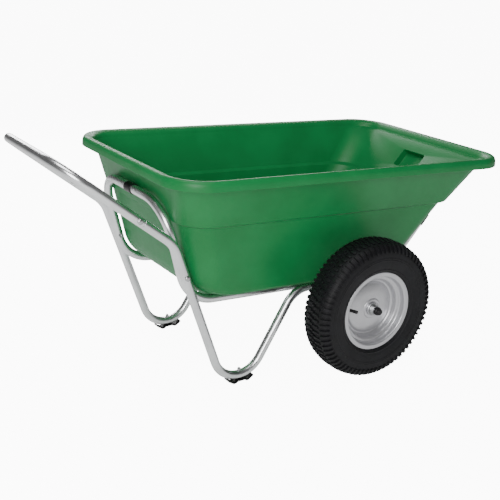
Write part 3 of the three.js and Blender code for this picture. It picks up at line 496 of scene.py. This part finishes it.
def leg_corners():
    leg_touch = FOOT_ARC + Vector((-math.cos(LEG_LEAN), 0, -math.sin(LEG_LEAN))) * LEG_BENDS["foot"]
    strut_touch = FOOT_ARC + Vector((math.sin(STRUT_RISE), 0, -math.cos(STRUT_RISE))) * LEG_BENDS["foot"]
    elbow = leg_touch + LEG_LINE * ((ELBOW_HEIGHT - leg_touch.z) / LEG_LINE.z)
    foot = crossing(leg_touch, LEG_LINE, strut_touch, STRUT_LINE)
    strut = crossing(strut_touch, STRUT_LINE, in_bed(0, 0), RUNNER_LINE)
    return elbow + ARM_LINE * SEAM_REACH, elbow, foot, strut, in_bed(STRUT_END, 0)


def at_side(place, y):
    return Vector((place.x, y, place.z))


def add_legs():
    corners = leg_corners()
    for name, side in SIDES.items():
        placed = [at_side(p, side * LEG_Y) for p in corners]
        bends = (LEG_BENDS["elbow"], LEG_BENDS["foot"], LEG_BENDS["strut"])
        tube(f"{name}_leg", placed, bends, CART, [f"{name}_leg_tube"])


def add_handle_loop():
    elbow = leg_corners()[1]
    end, bar = elbow + ARM_LINE * (SEAM_REACH + SEAM_GAP), elbow + ARM_LINE * BAR_REACH
    corners = [at_side(end, -LEG_Y), at_side(bar, -LEG_Y), at_side(bar, LEG_Y), at_side(end, LEG_Y)]
    tube("handle", corners, (HANDLE_CORNER, HANDLE_CORNER), CART, ["handle_loop"])


# ----------------------------------------------------------------------------------------------------
# Tub
# ----------------------------------------------------------------------------------------------------


def sideways(slope, distance):
    return distance * math.hypot(1, slope)


def end_edge(hoop, foot, lower):
    bend = hoop["foot_bend"] * math.tan((QUARTER - abs(hoop["lean"])) / 2)
    return (foot - (abs(hoop["foot"]) - bend) + EDGE_CLEARANCE) / math.tan(math.atan2(1, lower) / 2)


def side_wall():
    foot = RUNNER_Y + SIDE_WALL["outside_runner"]
    at_ledge = foot + SIDE_WALL["lower"] * (TUB["ledge"] - UNDERSIDE) + TUB["step"]
    return {**SIDE_WALL, "foot": foot, "at_ledge": at_ledge}


def handle_wall():
    """The wall that leans on the handle-end hoop's bar above its ledge."""
    foot, upper = -HANDLE_HOOP["foot"] - HANDLE_WALL["inside_hoop"], HANDLE_WALL["upper"]
    bar = -hoop_x(HANDLE_HOOP, HANDLE_HOOP["height"]) - sideways(upper, HOOP_STANDOFF)
    at_ledge = bar - upper * (HANDLE_HOOP["height"] - TUB["ledge"])
    lower = (at_ledge - TUB["step"] - foot) / (TUB["ledge"] - UNDERSIDE)
    edge = end_edge(HANDLE_HOOP, foot, lower)
    return {"foot": foot, "upper": upper, "lower": lower, "at_ledge": at_ledge, "edge": edge}


def nose_wall():
    """The wall that lies along the nose hoop's uprights below its ledge."""
    lower = math.tan(NOSE_HOOP["lean"])
    away = sideways(lower, HOOP_STANDOFF)
    foot = hoop_x(NOSE_HOOP, UNDERSIDE) - away
    at_ledge = hoop_x(NOSE_HOOP, TUB["ledge"]) - away + TUB["step"]
    edge = end_edge(NOSE_HOOP, foot, lower)
    return {**NOSE_WALL, "foot": foot, "lower": lower, "at_ledge": at_ledge, "edge": edge}


WALLS = {"handle": handle_wall(), "nose": nose_wall(), "half": side_wall()}


def outward(wall, height, inset):
    """How far out a wall's surface is at a height, outside or inset by the wall's thickness."""
    if height >= TUB["ledge"] + TUB["rise"] + inset:
        return wall["at_ledge"] + wall["upper"] * (height - TUB["ledge"]) - sideways(wall["upper"], inset)
    steepness, edge = math.atan2(1, wall["lower"]), wall["edge"] - inset
    rise = height - UNDERSIDE - inset
    base = wall["foot"] - sideways(wall["lower"], inset)
    if rise < edge * (1 - math.cos(steepness)):
        flat_end = base + wall["lower"] * inset - edge * math.tan(steepness / 2)
        return flat_end + math.sqrt(max(0, edge**2 - (edge - rise) ** 2))
    return base + wall["lower"] * (height - UNDERSIDE)


def outline(handle, nose, half, corners, height, fall=0.0):
    """A rounded rectangle's reach to the handle, the nose and each side, its corner radii and its height."""
    return Vector((handle, nose, half, corners[0], corners[1], height, fall))


def wall_outline(height, inset):
    share = (height - UNDERSIDE) / (TUB["crest"] - UNDERSIDE)
    corners = [low + (high - low) * share - inset for low, high in (HANDLE_CORNERS, NOSE_CORNERS)]
    reach = [outward(wall, height, inset) for wall in WALLS.values()]
    return outline(*reach, corners, height)


def belly_outlines(inset):
    """Inside the belly's floor, round its edge, and where it meets the tub's underside."""
    draft, floor = BELLY["draft"], -BELLY["depth"]
    made = []
    for narrow, height, fall in (
        (draft + BELLY_FLOOR_INSET, floor, BELLY["fall"]),
        (draft, floor, BELLY["fall"]),
        (0, UNDERSIDE, 0),
    ):
        narrowing = narrow + inset
        reach = [BELLY[way] - narrowing for way in ("handle", "nose", "half")]
        corner = BELLY["corner"] - narrowing
        rise = fall * (narrowing - draft - inset)
        made.append(outline(*reach, (corner, corner), height + inset + rise, fall))
    return made


def direction_at(line, i):
    return (line[min(i + 1, len(line) - 1)] - line[max(i - 1, 0)]).normalized()


def sheet_outline(middle, half):
    """Down one side of a thin sheet and back up the other, half its thickness away from its middle line."""
    sides = {1: [], -1: []}
    for i, p in enumerate(middle):
        along = direction_at(middle, i)
        for sign, points in sides.items():
            points.append((p.x + sign * along.y * half, p.y - sign * along.x * half))
    return sides[1] + sides[-1][::-1]


def rim_outlines():
    """The rim's sheet, from the top of the wall over the crest and down the skirt."""
    half, out = TUB["wall"] / 2, TUB["flange"] - TUB["wall"] / 2
    control = [
        (-4.5, -20),
        (0, -9),
        (out * 0.35, -half - 1.5),
        (out * 0.75, -half),
        (out - 1, -half - 9),
        (out, -TUB["skirt"]),
    ]
    middle = smooth_line([Vector(p) for p in control], RIM_STEPS)
    over_ledge = TUB["crest"] - TUB["ledge"]
    made = []
    for x, y in sheet_outline(middle, half):
        reach = [WALLS[way]["at_ledge"] + WALLS[way]["upper"] * over_ledge + x for way in WALLS]
        corners = (HANDLE_CORNERS[1] + x, NOSE_CORNERS[1] + x)
        made.append(outline(*reach, corners, TUB["crest"] + y))
    return made


def smooth_line(control, steps):
    """A Catmull-Rom curve through the control points."""
    padded, made = [control[0], *control, control[-1]], []
    for i in range(1, len(padded) - 2):
        a, b, c, d = padded[i - 1 : i + 3]
        for k in range(steps):
            t = k / steps
            v0, v1 = (c - a) * 0.5, (d - b) * 0.5
            made.append((b * 2 - c * 2 + v0 + v1) * t**3 + (c * 3 - b * 3 - v0 * 2 - v1) * t**2 + v0 * t + b)
    return made + [control[-1]]


def soft_rows(rows, soft):
    """Rows with the ones named in soft, by index, turned into a curve over that many millimetres."""
    made = []
    for i, row in enumerate(rows):
        if i not in soft:
            made.append(row)
            continue
        ends = []
        for other in (rows[i - 1], rows[i + 1]):
            apart = math.hypot(other[2] - row[2], other[5] - row[5])
            ends.append(row.lerp(other, min(MOST_CUT, soft[i] / apart)))
        for t in (0, 0.2, 0.4, 0.6, 0.8, 1):
            made.append(ends[0] * (1 - t) ** 2 + row * 2 * t * (1 - t) + ends[1] * t**2)
    return made


def edge_rise(wall):
    return wall["edge"] * (1 - math.cos(math.atan2(1, wall["lower"])))


def shell_side(inset):
    """One side of the tub's sheet, from its belly up to the rim, closer together round the bottom edge."""
    rise = max(edge_rise(WALLS["handle"]), edge_rise(WALLS["nose"]))
    heights = [UNDERSIDE + inset + rise * (i / EDGE_STEPS) ** 2 for i in range(EDGE_STEPS + 1)]
    heights += [TUB["ledge"] + inset, TUB["ledge"] + TUB["rise"] + inset, TUB["crest"] - TUB["skirt"]]
    rows = belly_outlines(inset) + [wall_outline(h, inset) for h in heights]
    ledge = len(rows) - 3
    return soft_rows(rows, {1: BELLY_SOFT, 2: EDGE_SOFT, ledge: LEDGE_SOFT, ledge + 1: LEDGE_SOFT})


def outline_points(row, segments=14):
    handle, nose, half, handle_corner, nose_corner, height, fall = row
    corners = (
        (nose_corner, nose - nose_corner, half - nose_corner),
        (handle_corner, handle_corner - handle, half - handle_corner),
        (handle_corner, handle_corner - handle, handle_corner - half),
        (nose_corner, nose - nose_corner, nose_corner - half),
    )
    made = []
    for quarter, (radius, x, y) in enumerate(corners):
        for i in range(segments + 1):
            angle = QUARTER * (quarter + i / segments)
            px = x + radius * math.cos(angle)
            made.append(Vector((px, y + radius * math.sin(angle), height + fall * (px + handle))))
    return made


def hand_hold_block(grow, start, end):
    """A block with rounded corners, square to the nose wall, from one depth behind its face to another."""
    width, height = HAND_HOLD["width"] / 2 + grow, HAND_HOLD["height"] / 2 + grow
    signs = ((1, 1), (-1, 1), (-1, -1), (1, -1))
    square = [Vector((x * width, y * height)) for x, y in signs]
    shape = softened(square, HAND_HOLD["corner"] + grow, 6, loop=True)
    lean = math.atan(WALLS["nose"]["upper"])
    middle = TUB["crest"] - HAND_HOLD["below"] - HAND_HOLD["height"] / 2 * math.cos(lean)
    centre = Vector((outward(WALLS["nose"], middle, 0), 0, middle))
    right, up = Vector((0, 1, 0)), Vector((math.sin(lean), 0, math.cos(lean)))
    deep = Vector((math.cos(lean), 0, -math.sin(lean)))
    bm = bmesh.new()
    rings = [[bm.verts.new(centre + right * p.x + up * p.y + deep * d) for p in shape] for d in (start, end)]
    bridge(bm, rings)
    bmesh.ops.recalc_face_normals(bm, faces=bm.faces)
    return bm


def helper(bm):
    """A block that only cuts or joins, and is removed again."""
    mesh = bpy.data.meshes.new("helper")
    bm.to_mesh(mesh)
    bm.free()
    mesh.transform(BED)
    made = bpy.data.objects.new("helper", mesh)
    bpy.context.scene.collection.objects.link(made)
    return made


def apply_modifiers(made):
    bpy.context.view_layer.update()
    seen = made.evaluated_get(bpy.context.evaluated_depsgraph_get())
    mesh = bpy.data.meshes.new_from_object(seen)
    made.modifiers.clear()
    made.data = mesh


def add_tub():
    rows = shell_side(0) + rim_outlines() + shell_side(TUB["wall"])[::-1]
    bm = bmesh.new()
    bridge(bm, [[bm.verts.new(p) for p in outline_points(row)] for row in rows])
    tub = piece("tub_shell", bm, BED, PLASTIC, "tub", ["tub"])
    wall, depth = TUB["wall"], HAND_HOLD["depth"]
    tools = [(helper(hand_hold_block(wall, -wall + POCKET_OVERLAP, depth)), "UNION")]
    tools.append((helper(hand_hold_block(0, -3 * wall, depth - wall)), "DIFFERENCE"))
    for tool, operation in tools:
        modifier = tub.modifiers.new(operation, "BOOLEAN")
        modifier.operation, modifier.object, modifier.solver = operation, tool, "EXACT"
    bevel = tub.modifiers.new("edges", "BEVEL")
    bevel.width, bevel.segments = EDGE_ROUND * MM, 3
    bevel.limit_method, bevel.angle_limit = "ANGLE", math.radians(48)
    apply_modifiers(tub)
    for tool, _ in tools:
        bpy.data.objects.remove(tool)
    finished(tub.data, PLASTIC, 40)


# ----------------------------------------------------------------------------------------------------
# Wheels
# ----------------------------------------------------------------------------------------------------


def carcass_line():
    """Half of the tyre's outer section, from the crown to the bead, as (radius, place along the axle)."""
    crown = [(195.4, 0), (195.2, 14), (194.2, 25), (190.5, 36), (183.5, 44.5)]
    sidewall = [(173, 48.8), (160, 49.6), (146, 49.2), (131, 47.2), (121, 44.6), (115.2, 41.6), (113.8, 38)]
    return smooth_line([Vector(p) for p in crown + sidewall], 4)


def with_ridges(points):
    """The section with fine ridges moulded round the sidewall."""
    made = []
    for r, y in points:
        ridge = sum(height * math.exp(-(((r - at) / half) ** 2)) for at, height, half in SIDEWALL_RIDGES)
        made.append((r, y + math.copysign(ridge, y)))
    return made


def dense(points, step):
    """The same line with points about a step apart."""
    made = []
    for a, b in zip(points, points[1:]):
        count = max(1, int((b - a).length / step))
        made += [a.lerp(b, k / count) for k in range(count)]
    return made + [points[-1]]


def tyre_outline():
    half = with_ridges([tuple(p) for p in dense(carcass_line(), SECTION_STEP)])
    bead = [(113.6, 36.6), (105, 36.6), (102.4, 34), (102.4, 28)]
    inner = [(112, 33), (126, 39.5), (158, 42), (178, 33), (183, 12), (183, 0)]
    outer = half + bead + inner
    return [(r, y) for r, y in reversed(outer)] + [(r, -y) for r, y in outer[1:]]


def lug(bm, line, angle, width, base=-1.0):
    """A moulded block that follows the carcass line, standing on it at an angle round the wheel."""
    spin = Matrix.Rotation(angle, 3, "Y")
    rings = []
    for i, p in enumerate(line):
        along = direction_at(line, i)
        out = Vector((-along.y, along.x)) if along.y < 0 else Vector((along.y, -along.x))
        lift = LUGS["height"] - (LUGS["end_drop"] if i in (0, len(line) - 1) else 0)
        half = [(width, base), (width * 0.9, lift - LUGS["edge_drop"]), (width * 0.76, lift)]
        ring = []
        for across, up in [(-x, y) for x, y in half] + half[::-1]:
            q = p + out * up
            ring.append(bm.verts.new(spin @ Vector((across / 2, q.y, q.x))))
        rings.append(ring)
    bridge(bm, rings)


def flipped(line, sign):
    return [Vector((p.x, sign * p.y)) for p in line]


def add_lugs(bm):
    """Five staggered rows of bars: round the middle, to each side of it, and on each shoulder."""
    shoulder = [p for p in carcass_line() if p.y > SHOULDER["from"] and p.x > SHOULDER["down_to"]]
    beside = [Vector((195.3, 6.5)), Vector((195.1, 13)), Vector((194.4, 20)), Vector((193.6, 24.8))]
    centre = [Vector((195.4, -4)), Vector((195.4, 0)), Vector((195.4, 4))]
    turn, width = FULL_TURN / LUGS["count"], LUGS["width"]
    for i in range(LUGS["count"]):
        for sign, offset in ((1, 0), (-1, 0.5)):
            lug(bm, flipped(shoulder, sign), turn * (i + offset), width)
            lug(bm, flipped(beside, sign), turn * (i + 0.5 + offset), width)
        lug(bm, centre, turn * (i + 0.25), width * 0.9)


def rim_outline():
    """One pressed rim half as a thin sheet: rolled lip, bead seat, steps down to the well, and the disc."""
    middle = [
        (112.6, 37.6),
        (113.4, 39.6),
        (112.2, 40.2),
        (108, 39.6),
        (103.4, 39.2),
        (100.8, 36),
        (100.2, 27),
        (97.4, 21.5),
        (93, 20.2),
        (88.6, 18),
        (86.6, 12),
        (84.4, 5.2),
        (80.4, 1.4),
        (76.6, 1.4),
        (73.6, 4.6),
        (68, 7.4),
        (52, 11.6),
        (36, 13.8),
        (29, 14.6),
        (26.8, 17.2),
        (20.4, 17.4),
    ]
    loop = sheet_outline(smooth_line([Vector(p) for p in middle], 4), RIM_HALF_SHEET)
    return loop + [loop[0]]


def ring_profile(outer, bore, start, end, chamfer=0.8):
    return [
        (bore, start),
        (outer - chamfer, start),
        (outer, start + chamfer),
        (outer, end - chamfer),
        (outer - chamfer, end),
        (bore, end),
        (bore, start),
    ]


def valve_profile():
    """The stem with its swollen collar, and the cap on it, from the root to the tip."""
    stem = profile((0, 0), (4.6, 0), (4.6, 21), (6.2, 24), (6.2, 28), (4.6, 32), (4.2, 46), soft=0.8)
    cap = profile((4.2, 46), (4.8, 46.6), (4.8, 56.5), (3.6, 58), (0, 58), soft=0.5)
    return [tuple(p) for p in stem + cap]


def hex_nut(flats, height, bore, sides=48):
    bm = bmesh.new()
    chamfer, inscribed = height * 0.14, flats / 2 * 0.985
    rings = []
    for level, rounded in ((0, True), (chamfer, False), (height - chamfer, False), (height, True)):
        ring = []
        for i in range(sides):
            angle = FULL_TURN * i / sides
            hexagon = flats / 2 / math.cos((angle + math.pi / 6) % (math.pi / 3) - math.pi / 6)
            radius = min(hexagon, inscribed * 1.04) if rounded else hexagon
            ring.append(bm.verts.new((radius * math.sin(angle), level, radius * math.cos(angle))))
        rings.append(ring)
    for level in (height, height - 1):
        angles = [FULL_TURN * i / sides for i in range(sides)]
        rings.append([bm.verts.new((bore * math.sin(a), level, bore * math.cos(a))) for a in angles])
    bridge(bm, rings)
    return bm


def cap_profile():
    """The rubber cap on the axle's end: a skirt over the thread, a step and a domed button."""
    skirt = ((8.4, 37.5), (11.7, 37.5), (11.7, 44.5))
    button = ((9.4, 46.2), (9.4, 50.6), (7.2, 53.2), (0, 53.8))
    return [tuple(p) for p in profile(*skirt, *button, soft=1.2)]


def add_rim_halves(name, place, body):
    halves = (("outer", place), ("inner", place @ Matrix.Rotation(math.pi, 4, "X")))
    for which, where in halves:
        rim = lathe(rim_outline(), 128)
        piece(f"{name}_rim_{which}", rim, where, PAINT, body, [f"{name}_rim_{which}_half"], 50)


def add_hub(name, place, body):
    hub = lathe(ring_profile(HUB["radius"], HUB["bore"], HUB["inner_end"], HUB["outer_end"]), 64)
    piece(f"{name}_hub_tube", hub, place, PAINT, body, [f"{name}_hub"])
    for which in ("outer", "inner"):
        start = BEARING[which]
        bearing = lathe(ring_profile(BEARING["radius"], AXLE_BORE, start, start + BEARING["width"]), 48)
        nodes = [f"{name}_{which}_bearing"]
        piece(f"{name}_{which}_bearing_ring", bearing, place, STEEL, body, nodes)


def add_valve(name, place, body):
    turn = Matrix.Rotation(-VALVE["turn"], 4, "Y")
    tilt = turn @ Matrix.Translation(VALVE["root"]) @ Matrix.Rotation(-VALVE["angle"], 4, "Z")
    valve = lathe(valve_profile(), 32)
    piece(f"{name}_valve", valve, place @ tilt, RUBBER, body, [f"{name}_valve_stem"])


def add_wheel(name, side):
    place, body = wheel_place(side), f"{name}_wheel"
    tyre = lathe(tyre_outline(), TYRE_SEGMENTS)
    add_lugs(tyre)
    piece(f"{name}_tyre_tread", tyre, place, TYRE_RUBBER, body, [f"{name}_tyre"], 30)
    add_rim_halves(name, place, body)
    add_hub(name, place, body)
    add_valve(name, place, body)
    add_axle_end(name, place)


def add_axle_end(name, place):
    section = ring_profile(WASHER["radius"], AXLE_BORE, WASHER["start"], WASHER["end"], WASHER["chamfer"])
    washer = lathe(section)
    piece(f"{name}_washer", washer, place, STEEL, FRAME_BODY, [f"{name}_axle_washer"])
    nut = hex_nut(AXLE_NUT["flats"], AXLE_NUT["height"], AXLE_NUT["bore"])
    shift = place @ Matrix.Translation((0, AXLE_NUT["start"], 0))
    piece(f"{name}_nut", nut, shift, STEEL, FRAME_BODY, [f"{name}_axle_nut"])
    cap = lathe(cap_profile())
    piece(f"{name}_cap", cap, place, RUBBER, FRAME_BODY, [f"{name}_nut_cap"])


def add_axle():
    radius, end = AXLE_RADIUS, AXLE_END
    half = [(radius, end - 1), (radius - 0.6, end), (0, end)]
    line = [(r, -y) for r, y in reversed(half)] + half
    place = CART @ Matrix.Translation((0, 0, AXLE_HEIGHT))
    piece("axle_rod", lathe(line), place, STEEL, FRAME_BODY, ["axle"])
    for name, side in SIDES.items():
        low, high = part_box(f"{name}_axle_spacer")
        ends = sorted((abs(low.y) / MM, abs(high.y) / MM))
        ring = lathe(ring_profile(SPACER_RADIUS, AXLE_BORE, *ends))
        nodes = [f"{name}_axle_spacer"]
        piece(f"{name}_spacer", ring, place @ facing(side), STEEL, FRAME_BODY, nodes)


# ----------------------------------------------------------------------------------------------------
# Brackets, pads and fastenings
# ----------------------------------------------------------------------------------------------------


def add_brackets():
    axle = Matrix.Rotation(-BED_TILT, 3, "Y") @ Vector((0, 0, AXLE_HEIGHT - BED_HEIGHT))
    top, bottom, boss, half = BRACKET["top"], BRACKET["bottom"], BRACKET["boss"], BRACKET["half"]
    chord = math.sqrt(boss**2 - (bottom - axle.z) ** 2)
    start = math.atan2(bottom - axle.z, chord)
    arc = [math.pi - start + (math.pi + 2 * start) * k / 24 for k in range(25)]
    shape = [Vector((axle.x + chord, bottom)), Vector((axle.x + half, bottom)), Vector((axle.x + half, top))]
    shape += [Vector((axle.x - half, top)), Vector((axle.x - half, bottom))]
    shape += [Vector((axle.x + boss * math.cos(a), axle.z + boss * math.sin(a))) for a in arc[:-1]]
    for name in SIDES:
        low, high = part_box(f"{name}_axle_bracket")
        across, width = (low.y + high.y) / 2 / MM, (high.y - low.y) / MM
        place = BED @ Matrix.Translation((0, across, 0))
        bm = extruded(shape, width, BRACKET["bevel"])
        nodes = [f"{name}_axle_bracket"]
        piece(f"{name}_bracket", bm, place, CASTING, FRAME_BODY, nodes)


def pad_outline():
    """The W-shaped strip under a foot bend, as (along the cart, height)."""
    half = [(0, 8), (12, 8), (19.5, 4), (23.5, 4), (40, 14.6)]
    under = [(41, 10.6), (25, 0), (18, 0), (11, 4), (0, 4)]
    one = [Vector(p) for p in half + under]
    other = [Vector((-p.x, p.y)) for p in reversed(one[1:-1])]
    return one + other


def add_feet():
    for name, side in SIDES.items():
        place = CART @ Matrix.Translation((FOOT_X, side * LEG_Y, 0))
        bm = extruded(pad_outline(), PAD["width"], PAD["bevel"])
        piece(f"{name}_pad", bm, place, PAD_STEEL, FRAME_BODY, [f"{name}_foot_pad"])


def bolt_profile(kind, length):
    """A domed bolt from the end of its thread at 0 up to its head past length."""
    radius, head, head_height = kind["radius"], kind["head"], kind["head_height"]
    line, pitch = [(0, 0), (radius * 0.8, 0)], radius * 0.3
    for i in range(int(THREAD_LENGTH / pitch)):
        line += [(radius, (i + 0.5) * pitch), (radius * 0.86, (i + 1) * pitch)]
    line += [(radius, line[-1][1] + pitch), (radius, length)]
    line += [(head, length), (head, length + head_height * 0.2)]
    for k in range(1, 7):
        angle = QUARTER * k / 6
        line.append((head * math.cos(angle), length + head_height * (0.2 + 0.8 * math.sin(angle))))
    return line


def add_bolt(name, kind, axis):
    """A bolt and its nut where their CAD nodes are: the head is at the far end of axis."""
    axis = Vector(axis)
    turn = Vector((0, 1, 0)).rotation_difference(axis).to_matrix().to_4x4()
    low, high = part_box(f"{name}_bolt")
    length = abs((high - low).dot(axis)) / MM
    start = (low + high) / 2 - axis * length / 2 * MM
    place = Matrix.Translation(start) @ turn @ Matrix.Scale(MM, 4)
    bm = lathe(bolt_profile(kind, length - kind["head_height"]), 32)
    piece(f"{name}_round_bolt", bm, place, STEEL, FRAME_BODY, [f"{name}_bolt"])
    start = middle_of(f"{name}_nut") - axis * kind["nut_height"] / 2 * MM
    place = Matrix.Translation(start) @ turn @ Matrix.Scale(MM, 4)
    nut = hex_nut(kind["flats"], kind["nut_height"], kind["radius"])
    piece(f"{name}_hex_nut", nut, place, STEEL, FRAME_BODY, [f"{name}_nut"])


def add_fastenings():
    down = Matrix.Rotation(BED_TILT, 3, "Y") @ Vector((0, 0, -1))
    for name, side in SIDES.items():
        for where in ("hoop", "handle"):
            add_bolt(f"{name}_{where}", FRAME_BOLT, (0, side, 0))
        add_bolt(f"{name}_foot", FOOT_BOLT, (0, 0, -1))
        for where in ("bracket_runner", "bracket_strut"):
            add_bolt(f"{name}_{where}", FRAME_BOLT, down)


def dress_hidden_nodes():
    """Materials for the nodes that other pieces cover, which keep their CAD shape."""
    finishes = {"plug": ALUMINIUM, "inner_tube": RUBBER}
    for name, node in frame["nodes"].items():
        for word, material in finishes.items():
            if name.endswith(word):
                node.data.materials.clear()
                node.data.materials.append(material)


# ----------------------------------------------------------------------------------------------------
# Camera, floor and light
# ----------------------------------------------------------------------------------------------------


CAMERA = {"lens": 66.98, "place": (-1.43444, -2.20496, 1.26712), "down": 0.3567, "turn": -0.5697}
FLOOR_GLOW = 10  # added for the camera's own rays
FLOOR_LIGHT = 0.35  # thrown on the cart


def add_camera():
    data = bpy.data.cameras.new("camera")
    data.lens, data.sensor_width = CAMERA["lens"], 36
    made = bpy.data.objects.new("camera", data)
    made.location = CAMERA["place"]
    made.rotation_euler = (QUARTER - CAMERA["down"], 0, CAMERA["turn"])
    bpy.context.scene.collection.objects.link(made)
    bpy.context.scene.camera = made


def floor_white():
    """A white sweep that looks bright in the picture without lighting the cart from below."""
    made = new_material("floor_white", (0.8, 0.8, 0.8), 0.9, specular=0.0)
    nodes, links = made.node_tree.nodes, made.node_tree.links
    seen = nodes.new("ShaderNodeLightPath")
    glow = nodes.new("ShaderNodeMath")
    glow.operation = "MULTIPLY_ADD"
    glow.inputs[1].default_value = FLOOR_GLOW
    glow.inputs[2].default_value = FLOOR_LIGHT
    shader = nodes["Principled BSDF"]
    shader.inputs["Emission Color"].default_value = (1, 1, 1, 1)
    links.new(seen.outputs["Is Camera Ray"], glow.inputs[0])
    links.new(glow.outputs["Value"], shader.inputs["Emission Strength"])
    return made


def add_floor():
    bm = bmesh.new()
    bmesh.ops.create_grid(bm, x_segments=1, y_segments=1, size=30)
    mesh = bpy.data.meshes.new("floor")
    bm.to_mesh(mesh)
    bm.free()
    floor = bpy.data.objects.new("floor", mesh)
    mesh.materials.append(floor_white())
    bpy.context.scene.collection.objects.link(floor)


def add_light(name, place, target, size, power):
    data = bpy.data.lights.new(name, "AREA")
    data.shape, data.size, data.size_y, data.energy = "RECTANGLE", size[0], size[1], power
    made = bpy.data.objects.new(name, data)
    made.location = place
    made.rotation_euler = (Vector(target) - Vector(place)).to_track_quat("-Z", "Y").to_euler()
    bpy.context.scene.collection.objects.link(made)


def add_lights():
    world = bpy.data.worlds.new("studio")
    world.use_nodes = True
    world.node_tree.nodes["Background"].inputs["Color"].default_value = (1, 1, 1, 1)
    world.node_tree.nodes["Background"].inputs["Strength"].default_value = 0.12
    bpy.context.scene.world = world
    add_light("key", (-2.4, -3.0, 1.9), (0, 0, 0.35), (1.8, 1.8), 110)
    add_light("top", (-0.6, -0.4, 3.0), (0, 0, 0.3), (1.6, 1.2), 35)
    add_light("rim", (0.9, 2.6, 1.7), (0, 0, 0.55), (3.0, 0.5), 60)


add_camera()
add_floor()
add_lights()
add_bed_tubes()
add_sleeves()
add_legs()
add_handle_loop()
add_tub()
for wheel_name, wheel_side in SIDES.items():
    add_wheel(wheel_name, wheel_side)
add_axle()
add_brackets()
add_feet()
add_fastenings()
dress_hidden_nodes()
